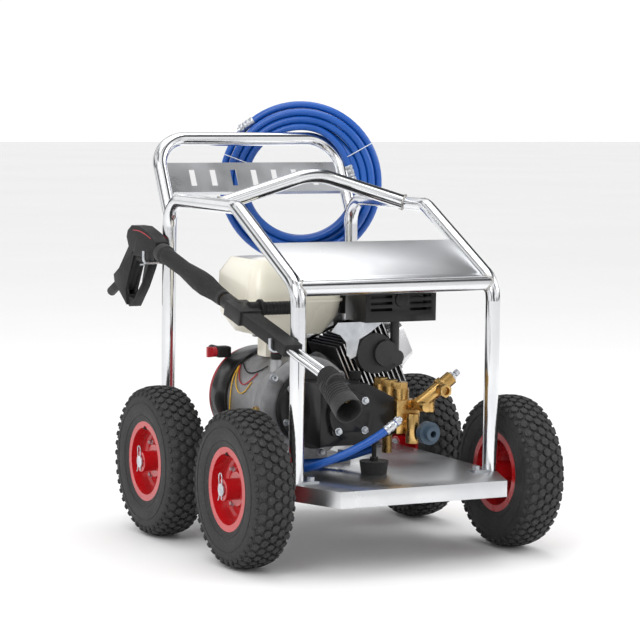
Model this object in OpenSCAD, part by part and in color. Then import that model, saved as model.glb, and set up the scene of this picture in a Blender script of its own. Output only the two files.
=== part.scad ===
// Petrol-engined pressure washer on a four-wheeled tube frame.
// +Z is up, -Y is the front and +Y the push handle's end. The lance lies along the -X side.
// The origin is on the floor, midway between the wheels and midway along the whole machine.

/* [Base tray] */
// Height of the tray's top face
tray_top = 178; // [160:1:210]
// Sheet thickness of the tray
tray_t = 2.5; // [2:0.5:4]
// Depth of the folded lip
tray_lip = 34; // [28:1:50]
// Half width of the tray along its sides
tray_half_w = 248; // [244:1:254]
// Half width of the tray's short front and rear edges
tray_nose_half_w = 196; // [150:1:220]
// Front edge of the tray
tray_front_y = -424; // [-500:1:-400]
// Rear edge of the tray
tray_rear_y = 384; // [376:1:420]
// Length along Y of each corner's slanted edge
tray_corner = 130; // [60:1:150]

/* [Tube frame] */
// Outer diameter of the frame tube
tube_d = 31.8; // [25:0.1:36]
// Wall of the frame tube
tube_wall = 2; // [1.5:0.1:3]
// Distance from the middle to each hoop
hoop_x = 231.5; // [228:0.5:236]
// Front legs of the hoops
hoop_front_y = -294; // [-310:1:-285]
// Rear legs of the hoops
hoop_rear_y = 351; // [340:1:365]
// Height of the hoops' top tubes
hoop_top_z = 731; // [710:1:800]
// Height where a front leg turns into the sloping tube
hoop_knee_z = 580; // [540:1:620]
// Where the sloping tube turns into the top tube
hoop_brow_y = 0; // [-60:1:40]
// Bend radius of the hoops
hoop_bend_r = 62; // [50:1:70]
// Position of the lifting arch
arch_y = 92; // [60:1:200]
// Height of the lifting arch's peak vertex
arch_z = 799; // [780:1:840]
// Bend radius at the arch's peak
arch_bend_r = 150; // [60:1:180]
// Height of the push handle's bar
handle_z = 864; // [840:1:920]
// Position of the push handle's bar
handle_y = 438; // [420:1:470]
// Bend radius of the push handle's corners
handle_bend_r = 75; // [60:1:90]
// Sheet thickness of the two panels
panel_t = 2; // [1:0.5:4]

/* [Wheels] */
// Radius of the tyres
wheel_r = 165; // [150:1:180]
// Width of the tyres
tyre_w = 92; // [80:1:100]
// Radius of the rim flange
rim_r = 88; // [80:1:100]
// Distance between the left and right tyre centres
track = 640; // [620:1:680]
// Distance between the axles
wheelbase = 420; // [400:1:480]
// Position of the front axle
front_axle_y = -230; // [-250:1:-215]
// Diameter of the axles
axle_d = 20; // [16:1:22]
// Diameter of the hubs
hub_d = 45; // [38:1:50]

/* [Engine] */
// Crankshaft position across the machine
crank_x = -120; // [-130:1:-110]
// Crankshaft height above the tray
crank_rise = 132; // [126:1:140]
// Front face of the crankcase side cover
pto_y = -120; // [-130:1:-110]
// Length of the crankcase behind the side cover
case_len = 145; // [135:1:150]
// Outer radius of the crankcase
case_r = 104; // [98:1:108]
// Outer radius of the side cover
cover_r = 110; // [105:1:114]
// Tilt of the cylinder above horizontal
cyl_tilt = 25; // [20:1:30]
// Bore of the cylinder
bore_d = 88; // [70:1:90]
// Length of the fuel tank along X
tank_w = 220; // [180:1:222]
// Length of the fuel tank along Y
tank_l = 205; // [170:1:215]
// Wall of the fuel tank
tank_wall = 2.5; // [1.5:0.5:4]

/* [Pump] */
// Pitch between the three plungers
plunger_pitch = 44; // [40:1:48]
// Diameter of the plungers
plunger_d = 20; // [14:1:22]
// Teeth of the engine pinion
pinion_teeth = 20; // [18:1:22]
// Teeth of the internal ring gear
ring_teeth = 44; // [42:1:46]
// Gear module
gear_module = 2; // [2:0.05:2.1]
// Diameter of the rubber foot under the pump
foot_d = 62; // [40:1:70]

/* [Lance] */
// Distance of the lance from the middle
lance_x = 268; // [266:1:280]
// Diameter of the insulated grip
grip_d = 36; // [30:1:38]
// Length of the change-over side handle
side_handle_len = 112; // [80:1:115]

/* [Hoses] */
// Outer diameter of the hoses
hose_d = 17; // [14:0.5:18]

/* [Hidden] */
$fn = 48;
// Overlap that lets one cut run past another's face
e = 0.5;
// Gap between pieces that must not touch
gap = 0.3;
// Radial clearance of a running fit
run = 0.05;

steel = "gainsboro";
zinc = "silver";
casting = "darkgray";
black = [0.12, 0.12, 0.12];

tube_id = tube_d - 2 * tube_wall;
slope_a = atan2(hoop_top_z - hoop_knee_z, hoop_brow_y - hoop_front_y);
slope_dir = [cos(slope_a), sin(slope_a)];
handle_lean = 27.5;
handle_leg = 185;
handle_u = [0, sin(handle_lean), cos(handle_lean)];
handle_foot = [0, handle_y, handle_z] - handle_u * handle_leg;

rear_axle_y = front_axle_y + wheelbase;
wheel_x = track / 2;
rim_half = tyre_w / 2 - 7.5;
rim_t = 2.5;
barrel_r = rim_r - 12;
hub_half = tyre_w / 2 + 2;
axle_half = wheel_x + hub_half + 4;
washer_t = 3;

crank_z = tray_top + crank_rise;
cyl_dir = [cos(cyl_tilt), 0, sin(cyl_tilt)];
cover_t = 30;
case_front_y = pto_y + cover_t;
case_rear_y = case_front_y + case_len;
cyl_y = case_front_y + 70;
journal_d = 35;

pitch_r_pinion = gear_module * pinion_teeth / 2;
pitch_r_ring = gear_module * ring_teeth / 2;
pump_x = crank_x + pitch_r_ring - pitch_r_pinion;
gear_front_y = pto_y - 24;
pump_front_y = pto_y - 142;
boss_front_y = pump_front_y - 16;
pump_mid_y = -203;
head_x = 14;
head_w = 52;
head_half_l = plunger_pitch * 1.5 + 5;
foot_y = -234;
foot_x = -17;

function unit(v) = v / norm(v);
function cross2(a, b) = a[0] * b[1] - a[1] * b[0];
// Signed angle turned at q on the way from p to s
function turn(p, q, s) = atan2(cross2(q - p, s - q), (q - p) * (s - q));
function setback(pts, i, r) =
    i <= 0 || i >= len(pts) - 1 ? 0 : r * tan(abs(turn(pts[i - 1], pts[i], pts[i + 1])) / 2);
// Inward offset of a convex outline that runs anticlockwise
function inward(p, q) = let (d = unit(q - p)) [-d[1], d[0]];
function inset(pts, g) = [
    for (i = [0:len(pts) - 1])
        let (
            n = len(pts),
            a = inward(pts[(i + n - 1) % n], pts[i]),
            b = inward(pts[i], pts[(i + 1) % n])
        )
        pts[i] + g * (a + b) / (1 + a * b)
];

// Turns a flat shape drawn in X and Y to stand in Y and Z, thick along X
module on_yz(x = 0) {
    translate([x, 0, 0]) rotate([90, 0, 90]) children();
}

// Turns a flat shape drawn in X and Y to stand in X and Z, thick towards -Y
module on_xz(y = 0) {
    translate([0, y, 0]) rotate([90, 0, 0]) children();
}

// Straight rod between two points
module rod(p, q, d) {
    v = q - p;
    translate(p) rotate([0, acos(v[2] / norm(v)), atan2(v[1], v[0])]) cylinder(d = d, h = norm(v));
}

// Rod that starts at a point and runs a length in a direction
module rod_along(p, dir, l, d) {
    rod(p, p + unit(dir) * l, d);
}

module tube_section(od, id) {
    difference() {
        circle(d = od);
        if (id > 0) circle(d = id);
    }
}

// Bent tube along flat points, with one bend radius; an inner diameter of 0 makes it solid.
// The bends are a hair thicker than the straights, which run a little way into them.
bend_swell = 0.1;
module bent_tube(pts, r, od, id = 0) {
    n = len(pts);
    lap = sqrt(bend_swell / 2 * r);
    for (i = [0:n - 2]) {
        d = unit(pts[i + 1] - pts[i]);
        a = pts[i] + d * (i > 0 ? setback(pts, i, r) - lap : 0);
        b = pts[i + 1] - d * (i < n - 2 ? setback(pts, i + 1, r) - lap : 0);
        translate([a[0], a[1], 0]) rotate([0, 90, atan2(d[1], d[0])])
            linear_extrude(norm(b - a)) tube_section(od, id);
    }
    for (i = [1:n - 2]) {
        t = turn(pts[i - 1], pts[i], pts[i + 1]);
        d = unit(pts[i] - pts[i - 1]);
        start = pts[i] - d * setback(pts, i, r);
        side = [-d[1], d[0]] * sign(t);
        c = start + side * r;
        a0 = atan2(-side[1], -side[0]) + min(t, 0);
        translate([c[0], c[1], 0]) rotate([0, 0, a0])
            rotate_extrude(angle = abs(t)) translate([r, 0])
                tube_section(od + bend_swell, id > 0 ? id - bend_swell : 0);
    }
}

// Block with rounded upright edges, from x0 to x1, y0 to y1 and z0 to z1
module soft_block(x, y, z, r) {
    translate([0, 0, z[0]]) linear_extrude(z[1] - z[0]) {
        translate([x[0] + r, y[0]]) square([x[1] - x[0] - 2 * r, y[1] - y[0]]);
        translate([x[0], y[0] + r]) square([x[1] - x[0], y[1] - y[0] - 2 * r]);
        for (cx = [x[0] + r, x[1] - r], cy = [y[0] + r, y[1] - r]) translate([cx, cy]) circle(r = r);
    }
}

// Plain block given by its limits along the three axes
module block(x, y, z) {
    translate([x[0], y[0], z[0]]) cube([x[1] - x[0], y[1] - y[0], z[1] - z[0]]);
}

// Cylinder along Y between two positions
module y_rod(x, z, y0, y1, d) {
    translate([x, y0, z]) rotate([-90, 0, 0]) cylinder(d = d, h = y1 - y0);
}

// Cylinder along X between two positions
module x_rod(x0, x1, y, z, d) {
    translate([x0, y, z]) rotate([0, 90, 0]) cylinder(d = d, h = x1 - x0);
}

// Hexagon bolt head or nut across flats s, standing on a point and pointing along a direction
module hex_head(p, dir, s, h) {
    v = unit(dir);
    translate(p) rotate([0, acos(v[2]), atan2(v[1], v[0])]) cylinder(d = s / cos(30), h = h, $fn = 6);
}

/* ---- Frame ---- */

tray_outline = [
    [-tray_nose_half_w, tray_front_y], [tray_nose_half_w, tray_front_y],
    [tray_half_w, tray_front_y + tray_corner], [tray_half_w, tray_rear_y - tray_corner],
    [tray_nose_half_w, tray_rear_y], [-tray_nose_half_w, tray_rear_y],
    [-tray_half_w, tray_rear_y - tray_corner], [-tray_half_w, tray_front_y + tray_corner]
];
foot_bolt_inset = 34;
axle_block = [44, 26];

module base_tray() {
    color(steel) difference() {
        union() {
            difference() {
                translate([0, 0, tray_top - tray_lip]) linear_extrude(tray_lip) polygon(tray_outline);
                translate([0, 0, tray_top - tray_lip - e]) linear_extrude(tray_lip - tray_t + e)
                    polygon(inset(tray_outline, tray_t));
            }
            for (y = [front_axle_y, rear_axle_y], s = [-1, 1])
                block([s * 205 - axle_block[0] / 2, s * 205 + axle_block[0] / 2],
                      [y - axle_block[1], y + axle_block[1]], [tray_top - tray_lip, tray_top - tray_t]);
        }
        for (y = [front_axle_y, rear_axle_y])
            x_rod(-tray_half_w - e, tray_half_w + e, y, wheel_r, axle_d + 2 * run);
    }
}

hoop_path = [
    [hoop_front_y, tray_top], [hoop_front_y, hoop_knee_z], [hoop_brow_y, hoop_top_z],
    [hoop_rear_y, hoop_top_z], [hoop_rear_y, tray_top]
];

module hoop(x, id) {
    on_yz(x) bent_tube(hoop_path, hoop_bend_r, tube_d, id);
}

module both_hoops_solid() {
    for (s = [-1, 1]) hoop(s * hoop_x, 0);
}

module left_hoop() {
    color(steel) hoop(-hoop_x, tube_id);
}

module right_hoop() {
    color(steel) hoop(hoop_x, tube_id);
}

// Middle of the bend at the knee, where the cross tube is welded
knee_mid = [hoop_front_y + 8.8, hoop_knee_z - 1];

module cross_tube_body(id) {
    x_rod(-hoop_x, hoop_x, knee_mid[0], knee_mid[1], id);
}

module front_cross_tube() {
    color(steel) difference() {
        cross_tube_body(tube_d);
        cross_tube_body(tube_id);
        both_hoops_solid();
    }
}

arch_end = [hoop_x - 6, hoop_top_z + 1.7];
arch_path = [[-arch_end[0], arch_end[1]], [0, arch_z], arch_end];

module lifting_arch() {
    color(steel) difference() {
        on_xz(arch_y) bent_tube(arch_path, arch_bend_r, tube_d, tube_id);
        both_hoops_solid();
    }
}

panel_rise = 9;
front_panel_l = 150;
panel_lip = 13;

// Panel on the slope, folded down along its lower edge and up along its top edge
module front_panel() {
    a = knee_mid + slope_dir * (tube_d / 2 + 1);
    color(steel) difference() {
        translate([0, a[0], a[1]]) rotate([slope_a, 0, 0]) {
            block([-hoop_x, hoop_x], [0, front_panel_l], [panel_rise - panel_t, panel_rise]);
            block([-hoop_x + tube_d / 2, hoop_x - tube_d / 2], [front_panel_l - panel_t, front_panel_l],
                  [panel_rise - panel_lip, panel_rise - panel_t]);
            block([-hoop_x + tube_d / 2, hoop_x - tube_d / 2], [0, panel_t],
                  [panel_rise - panel_lip, panel_rise - panel_t]);
        }
        both_hoops_solid();
    }
}

handle_path = [[-hoop_x, 0], [-hoop_x, handle_leg], [hoop_x, handle_leg], [hoop_x, 0]];

module handle_body(id) {
    translate(handle_foot) rotate([-handle_lean, 0, 0]) on_xz(0)
        bent_tube(handle_path, handle_bend_r, tube_d, id);
}

module push_handle() {
    color(steel) difference() {
        handle_body(tube_id);
        both_hoops_solid();
    }
}

rear_panel_v = [44, 124];
slot_w = 14;
slot_l = 40;
slot_pitch = 52;

// Panel between the handle's legs, with a row of plain upright slots
module rear_panel() {
    color(steel) difference() {
        translate(handle_foot) rotate([-handle_lean, 0, 0]) {
            difference() {
                union() {
                    block([-hoop_x, hoop_x], [-panel_t, 0], rear_panel_v);
                    block([-hoop_x + tube_d / 2, hoop_x - tube_d / 2], [-panel_t - panel_lip, -panel_t],
                          [rear_panel_v[0], rear_panel_v[0] + panel_t]);
                }
                for (i = [-3:3])
                    block([i * slot_pitch - slot_w / 2, i * slot_pitch + slot_w / 2],
                          [-panel_t - e, e], [rear_panel_v[0] + 22, rear_panel_v[0] + 22 + slot_l]);
            }
        }
        handle_body(0);
        both_hoops_solid();
    }
}

foot_w = 30;
foot_l = 46;
foot_t = 5;

// Flat feet at the bottom of the hoops' legs, each with a bolt through the tray
module hoop_feet() {
    for (s = [-1, 1], y = [hoop_front_y, hoop_rear_y]) {
        color(zinc) difference() {
            block(s > 0 ? [hoop_x - foot_l, hoop_x] : [-hoop_x, -hoop_x + foot_l],
                  [y - foot_w / 2, y + foot_w / 2], [tray_top, tray_top + foot_t]);
            hoop(s * hoop_x, 0);
        }
        color(zinc) hex_head([s * (hoop_x - foot_bolt_inset), y, tray_top + foot_t], [0, 0, 1], 15, 8);
    }
}

hook_d = 8;
hook_lip = 26;

// Two J-shaped rods on the left hoop that carry the lance
module lance_hooks() {
    for (h = hooks) {
        x_in = -hoop_x - tube_d / 2 + 3;
        x_out = -lance_x - hook_reach;
        color(zinc) difference() {
            on_xz(h[0]) bent_tube([[x_in, h[1]], [x_out, h[1]], [x_out, h[1] + hook_lip]], 9, hook_d);
            hoop(-hoop_x, 0);
        }
    }
}

/* ---- Wheels ---- */

module at_wheel(left, front) {
    translate([left ? -wheel_x : wheel_x, front ? front_axle_y : rear_axle_y, wheel_r])
        rotate([0, left ? -90 : 90, 0]) children();
}

// Hollow pneumatic tyre, its axis along Z and its outer side up
module tyre_body() {
    w = tyre_w / 2;
    color(black) rotate_extrude($fn = 96) polygon([
        [barrel_r + 0.1, rim_half - rim_t - gap], [rim_r + 1, rim_half - rim_t - gap],
        [rim_r + 1, rim_half + 1], [rim_r + 16, w - 2], [rim_r + 34, w], [rim_r + 56, w - 2],
        [wheel_r - 8, w - 6], [wheel_r, w - 15], [wheel_r, -w + 15], [wheel_r - 8, -w + 6],
        [rim_r + 56, -w + 2], [rim_r + 34, -w], [rim_r + 16, -w + 2], [rim_r + 1, -rim_half - 1],
        [rim_r + 1, -rim_half + rim_t + gap], [barrel_r + 0.1, -rim_half + rim_t + gap],
        [barrel_r + 0.1, -rim_half + 12], [rim_r + 8, -w + 14], [rim_r + 34, -w + 9],
        [wheel_r - 18, -w + 14], [wheel_r - 12, -w + 26], [wheel_r - 12, w - 26],
        [wheel_r - 18, w - 14], [rim_r + 34, w - 9], [rim_r + 8, w - 14], [barrel_r + 0.1, rim_half - 12]
    ]);
}

// Pressed rim with a dished web, and the hub tube with a bearing in each end
module rim_body() {
    hr = hub_d / 2;
    color("firebrick") rotate_extrude($fn = 96) union() {
        translate([barrel_r - rim_t, -rim_half]) square([rim_t, 2 * rim_half]);
        for (s = [-1, 1]) translate([barrel_r - e, s > 0 ? rim_half - rim_t : -rim_half])
            square([rim_r - barrel_r + e, rim_t]);
        polygon([[hr - e, 14], [hr + 12, 14], [hr + 20, 4], [hr + 36, 4], [hr + 42, 8], [barrel_r - 1, 8],
                 [barrel_r - 1, 8 + rim_t], [hr + 41, 8 + rim_t], [hr + 35, 4 + rim_t],
                 [hr + 21, 4 + rim_t], [hr + 13, 14 + rim_t], [hr - e, 14 + rim_t]]);
    }
    color(zinc) difference() {
        translate([0, 0, -hub_half]) cylinder(d = hub_d, h = 2 * hub_half);
        translate([0, 0, -hub_half - e]) cylinder(d = axle_d + 2 * run, h = 2 * hub_half + 2 * e);
        translate([0, 0, -hub_half + 14]) cylinder(d = hub_d - 6, h = 2 * hub_half - 28);
    }
}

module front_left_tyre() at_wheel(true, true) tyre_body();
module front_right_tyre() at_wheel(false, true) tyre_body();
module rear_left_tyre() at_wheel(true, false) tyre_body();
module rear_right_tyre() at_wheel(false, false) tyre_body();
module front_left_rim() at_wheel(true, true) rim_body();
module front_right_rim() at_wheel(false, true) rim_body();
module rear_left_rim() at_wheel(true, false) rim_body();
module rear_right_rim() at_wheel(false, false) rim_body();

// Two plain axles with inner collars, and a hairpin through each end
module axles() {
    for (y = [front_axle_y, rear_axle_y]) {
        color(zinc) x_rod(-axle_half, axle_half, y, wheel_r, axle_d);
        for (s = [-1, 1]) {
            inner = wheel_x - hub_half - gap;
            color(zinc) x_rod(s > 0 ? inner - washer_t : -inner, s > 0 ? inner : -inner + washer_t,
                              y, wheel_r, axle_d + 14);
            color(zinc) x_rod(s > 0 ? axle_half - 2.2 : -axle_half, s > 0 ? axle_half : -axle_half + 2.2,
                              y, wheel_r, axle_d + 6);
        }
    }
}

/* ---- Engine ---- */

module along_cylinder(s) {
    translate([crank_x, cyl_y, crank_z] + cyl_dir * s) rotate([0, 90 - cyl_tilt, 0]) children();
}

module crankcase() {
    color(casting) difference() {
        union() {
            y_rod(crank_x, crank_z, case_front_y, case_rear_y, 2 * case_r);
            block([crank_x - 118, crank_x + 128], [case_front_y + 8, case_rear_y - 8], [tray_top, tray_top + 16]);
            block([crank_x - 70, crank_x + 70], [case_front_y + 8, case_rear_y - 8],
                  [tray_top, tray_top + crank_rise - 40]);
            along_cylinder(60) cylinder(d = 128, h = 54);
        }
        y_rod(crank_x, crank_z, case_front_y - e, case_rear_y - 8, 2 * case_r - 14);
        y_rod(crank_x, crank_z, case_rear_y - 10, case_rear_y + e, journal_d + 2 * run);
        along_cylinder(40) cylinder(d = bore_d + 12, h = 90);
    }
}

module side_cover() {
    color(casting) difference() {
        union() {
            y_rod(crank_x, crank_z, pto_y, case_front_y, 2 * cover_r);
            translate([crank_x - 66, pto_y + 15, crank_z + 78]) cylinder(d = 26, h = 26);
        }
        y_rod(crank_x, crank_z, pto_y + 8, case_front_y + e, 2 * cover_r - 14);
        y_rod(crank_x, crank_z, pto_y - e, pto_y + 10, journal_d + 2 * run);
    }
    for (a = [40:50:290]) color(zinc)
        hex_head([crank_x + 103 * cos(a), pto_y, crank_z + 103 * sin(a)], [0, -1, 0], 12, 5);
}

// Barrel with its cooling fins square to the bore
module cylinder_barrel() {
    difference() {
        union() {
            cylinder(d = bore_d + 11.8, h = 98);
            for (i = [0:8]) translate([-74, -fin_half_y, 14 + i * 10]) cube([148, 2 * fin_half_y, 3]);
        }
        translate([0, 0, -e]) cylinder(d = bore_d, h = 98 + 2 * e);
    }
}

fin_half_y = 66;
barrel_s = 114.3;
head_s = barrel_s + 98;
head_h = 46;

module barrel() {
    color(black) along_cylinder(barrel_s) cylinder_barrel();
}

module cylinder_head() {
    color(black) {
        along_cylinder(head_s + gap) {
            translate([-60, -56, 0]) cube([120, 112, head_h]);
            for (i = [0:3]) translate([-72, -fin_half_y, 6 + i * 11]) cube([144, 2 * fin_half_y, 3]);
            translate([-30, -fin_half_y - 8, 0]) cube([60, 20, head_h]);
        }
        // Round exhaust flange on the front, with the pipe that rises to the muffler
        y_rod(head_flange[0], head_flange[1], head_flange_y, cyl_y - fin_half_y - gap, 88);
        y_rod(head_flange[0] + 22, head_flange[1], head_flange_y - 10, head_flange_y + 1, 56);
        y_rod(exhaust_x, head_flange[1] - 10, head_flange_y - 8, cyl_y - fin_half_y - gap, 32);
        translate([exhaust_x, head_flange_y + 6, head_flange[1] - 10])
            cylinder(d = 20, h = guard_z[0] + 18 - head_flange[1]);
    }
}

module rocker_cover() {
    color(zinc) along_cylinder(head_s + head_h + 2 * gap) {
        hull() {
            for (x = [-34, 34], y = [-32, 32]) translate([x, y, 0]) cylinder(r = 18, h = 6, $fn = 32);
            for (x = [-26, 26], y = [-22, 22]) translate([x, y, 44]) cylinder(r = 14, h = 6, $fn = 32);
        }
        for (x = [-44, 44], y = [-40, 40]) translate([x, y, 0]) cylinder(d = 14, h = 9);
    }
}

module piston() {
    color(casting) along_cylinder(126) difference() {
        cylinder(d = bore_d - 2 * run, h = 60);
        translate([0, 0, -e]) cylinder(d = bore_d - 14, h = 52);
    }
    color(zinc) along_cylinder(146) translate([0, bore_d / 2 - 6, 0]) rotate([90, 0, 0])
        cylinder(d = 20, h = bore_d - 12);
}

module pinion_teeth_ring() {
    tooth = gear_module * 1.15;
    for (i = [0:pinion_teeth - 1]) rotate(i * 360 / pinion_teeth)
        translate([pitch_r_pinion - 3, 0]) polygon([[0, -1.5], [4.4, -tooth / 2.6], [4.4, tooth / 2.6], [0, 1.5]]);
}

// Crankshaft with two webs and a crank pin; its front end carries the gearbox pinion
module crankshaft() {
    color(zinc) {
        y_rod(crank_x, crank_z, gear_face_y + gear_web + 0.6, cyl_y - 22, journal_d);
        y_rod(crank_x, crank_z, cyl_y + 22, blower_rear_y + 12, journal_d);
        for (y = [cyl_y - 34, cyl_y + 22]) y_rod(crank_x, crank_z, y, y + 12, 96);
        y_rod(crank_x + 28, crank_z, cyl_y - 24, cyl_y + 24, 34);
        translate([crank_x, gear_face_y + gear_web + gear_len, crank_z]) rotate([90, 0, 0]) linear_extrude(gear_len - 0.6) {
            circle(r = pitch_r_pinion - 2);
            rotate(180) pinion_teeth_ring();
        }
    }
}

blower_front_y = case_rear_y + gap;
blower_rear_y = blower_front_y + 72;

module flywheel() {
    color(casting) difference() {
        union() {
            y_rod(crank_x, crank_z, blower_front_y + 14, blower_front_y + 44, 176);
            for (a = [0:30:330]) translate([crank_x, 0, crank_z]) rotate([0, a, 0])
                block([46, 86], [blower_front_y + 40, blower_front_y + 58], [-2, 2]);
        }
        y_rod(crank_x, crank_z, blower_front_y + 10, blower_front_y + 60, journal_d + 2 * run);
    }
}

module blower_housing() {
    color(black) difference() {
        union() {
            y_rod(crank_x, crank_z, blower_front_y, blower_rear_y, 220);
            block([crank_x + 20, crank_x + 150], [blower_front_y, blower_rear_y], [crank_z + 20, crank_z + 128]);
        }
        y_rod(crank_x, crank_z, blower_front_y + 3, blower_rear_y + e, 214);
        block([crank_x + 20, crank_x + 147], [blower_front_y - e, blower_rear_y - 3],
              [crank_z + 23, crank_z + 125]);
        y_rod(crank_x, crank_z, blower_front_y - e, blower_front_y + 4, 150);
    }
}

recoil_t = 42;

module recoil_cover() {
    color("firebrick") difference() {
        union() {
            y_rod(crank_x, crank_z, blower_rear_y + gap, blower_rear_y + 16, 212);
            translate([crank_x, blower_rear_y + 16, crank_z]) rotate([-90, 0, 0])
                cylinder(r1 = 106, r2 = 84, h = recoil_t - 16);
        }
        y_rod(crank_x, crank_z, blower_rear_y, blower_rear_y + recoil_t - 3, 150);
        translate([crank_x, blower_rear_y - 1, crank_z]) rotate([-90, 0, 0])
            cylinder(r1 = 103, r2 = 81, h = recoil_t - 14);
        for (a = [0:30:330]) translate([crank_x, 0, crank_z]) rotate([0, a, 0])
            block([40, 68], [blower_rear_y + 20, blower_rear_y + recoil_t + e], [-4, 4]);
    }
}

recoil_grip = [crank_x - 58, blower_rear_y + 32, crank_z + 86];
recoil_dir = [-0.9, 0, 0.436];

// T-shaped pull handle on the recoil starter
module recoil_handle() {
    color(black) {
        rod_along(recoil_grip, recoil_dir, 26, 14);
        rod(recoil_grip + unit(recoil_dir) * 26 - [0, 26, 0], recoil_grip + unit(recoil_dir) * 26 + [0, 26, 0], 20);
    }
}

tank_x = [-228, -228 + tank_w];
tank_y = [-80, -80 + tank_l];
tank_seam_z = 533;
tank_top_z = 620;
tank_floor_z = 458;

module tank_slab(g, z, h = 1) {
    soft_block([tank_x[0] + g, tank_x[1] - g], [tank_y[0] + g, tank_y[1] - g], [z, z + h], 34 - min(g, 20));
}

module tank_half_upper(g) {
    hull() {
        tank_slab(g, tank_seam_z);
        tank_slab(g + 3, tank_top_z - 34);
        tank_slab(g + 26, tank_top_z - g - 1);
    }
}

module tank_half_lower(g) {
    hull() {
        tank_slab(g, tank_seam_z - 1);
        tank_slab(g + 6, tank_seam_z - 34);
        tank_slab(g + 34, tank_floor_z + g);
    }
}

cap_x = -92;
cap_y = 20;
neck_d = 56;

module fuel_tank() {
    color("cornsilk") difference() {
        union() {
            tank_half_upper(0);
            tank_half_lower(0);
            soft_block([tank_x[0] - 4, tank_x[1] + 4], [tank_y[0] - 4, tank_y[1] + 4],
                       [tank_seam_z - 3, tank_seam_z + 2], 36);
            translate([cap_x, cap_y, tank_top_z - 4]) cylinder(d = neck_d, h = 14);
            // Legs down to the crankcase
            for (x = [crank_x - 40, crank_x + 40]) block([x - 9, x + 9], [-20, 20], [crank_z + 99.6, tank_floor_z + 6]);
        }
        tank_half_upper(tank_wall);
        tank_half_lower(tank_wall);
        translate([cap_x, cap_y, tank_top_z - 12]) cylinder(d = neck_d - 8, h = 30);
    }
}

module fuel_cap() {
    color(black) difference() {
        translate([cap_x, cap_y, tank_top_z + 2]) cylinder(d = neck_d + 14, h = 22);
        translate([cap_x, cap_y, tank_top_z - e]) cylinder(d = neck_d + 2 * gap, h = 12);
    }
}

guard_x = [4, 176];
guard_y = [-150, -56];
guard_z = [489, 572];
guard_t = 1.6;
head_flange = [56, 417];
exhaust_x = 106;
head_flange_y = cyl_y - 80;

module muffler() {
    color("dimgray") difference() {
        soft_block([guard_x[0] + 10, guard_x[1] - 10], [guard_y[0] + 16, guard_y[1] - 8],
                   [guard_z[0] + 8, guard_z[1] - 8], 14);
        soft_block([guard_x[0] + 12, guard_x[1] - 12], [guard_y[0] + 18, guard_y[1] - 10],
                   [guard_z[0] + 10, guard_z[1] - 10], 12);
    }
}

// Thin box open at the back, with rows of louvre slots either side of a round boss
module muffler_guard() {
    mid = (guard_x[0] + guard_x[1]) / 2;
    color(black) difference() {
        union() {
            difference() {
                block(guard_x, guard_y, guard_z);
                block([guard_x[0] + guard_t, guard_x[1] - guard_t], [guard_y[0] + guard_t, guard_y[1] + e],
                      [guard_z[0] + guard_t, guard_z[1] - guard_t]);
            }
            y_rod(mid, guard_z[0] + 48, guard_y[0] - 5, guard_y[0] + guard_t, 32);
        }
        translate([exhaust_x, head_flange_y + 6, guard_z[0] - e]) cylinder(d = 26, h = 8);
        for (i = [0:3], s = [-1, 1])
            block([mid + s * 48 - 26, mid + s * 48 + 26], [guard_y[0] - e, guard_y[0] + guard_t + e],
                  [guard_z[0] + 24 + i * 14, guard_z[0] + 30 + i * 14]);
    }
}

module heat_deflector() {
    color(zinc) on_xz(guard_y[0] + 26) linear_extrude(2) polygon([
        [-66, 470], [-50, 489], [62, 489], [22, 462], [2, 452], [-6, 416], [-18, 410], [-28, 418],
        [-30, 446], [-44, 462]
    ]);
}

module air_cleaner() {
    color(black) difference() {
        soft_block([20, 172], [-18, 118], [496, 604], 22);
        soft_block([23, 169], [-15, 115], [499, 601], 19);
    }
}

carb_x = 56;
carb_z = 470;

module carburettor() {
    color(casting) {
        y_rod(carb_x, carb_z - 20, cyl_y + fin_half_y + gap, 84, 34);
        block([carb_x - 24, carb_x + 24], [52, 100], [carb_z - 46, carb_z + 4]);
        translate([carb_x, 76, carb_z - 76]) cylinder(d = 40, h = 32);
        translate([carb_x, 76, carb_z + 2]) cylinder(d = 30, h = 496 - carb_z - 2);
    }
}

throttle_pivot = [-60, 108, 448];

module throttle_lever() {
    color(zinc) {
        rod(throttle_pivot - [0, 7, 0], throttle_pivot + [0, 7, 0], 12);
        block([throttle_pivot[0] - 62, throttle_pivot[0]], [throttle_pivot[1] - 1.5, throttle_pivot[1] + 1.5],
              [throttle_pivot[2] - 5, throttle_pivot[2] + 5]);
    }
    color(black) block([throttle_pivot[0] - 76, throttle_pivot[0] - 58],
                       [throttle_pivot[1] - 6, throttle_pivot[1] + 6],
                       [throttle_pivot[2] - 8, throttle_pivot[2] + 8]);
}

// Switch box on the blower housing, with a rotary knob that the hand turns
switch_at = [crank_x - 92, blower_front_y + 52, crank_z + 88];

// Sight glass, oil plug, foot bolts, spark plug and the switch's own box
module engine_fittings() {
    color("olivedrab") x_rod(crank_x - cover_r - gap - 6, crank_x - cover_r - gap, sight_y, crank_z - 8, 26);
    color(black) translate([crank_x - 66, pto_y + 15, crank_z + 104]) cylinder(d = 22, h = 14);
    color("firebrick") translate([crank_x - 66, pto_y + 15, crank_z + 118]) cylinder(d = 26, h = 6);
    color(zinc) for (x = [crank_x - 106, crank_x + 114], y = [case_front_y + 24, case_rear_y - 24])
        hex_head([x, y, tray_top + 16], [0, 0, 1], 15, 8);
    color("white") along_cylinder(head_s + head_h + 2 * gap) translate([-62, 0, 0]) cylinder(d = 15, h = 34);
    color(black) soft_block([switch_at[0] - 16, switch_at[0] + 16], [switch_at[1] - 14, switch_at[1] + 14],
                            [switch_at[2], switch_at[2] + 24], 4);
}

sight_y = pto_y + 15;

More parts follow.
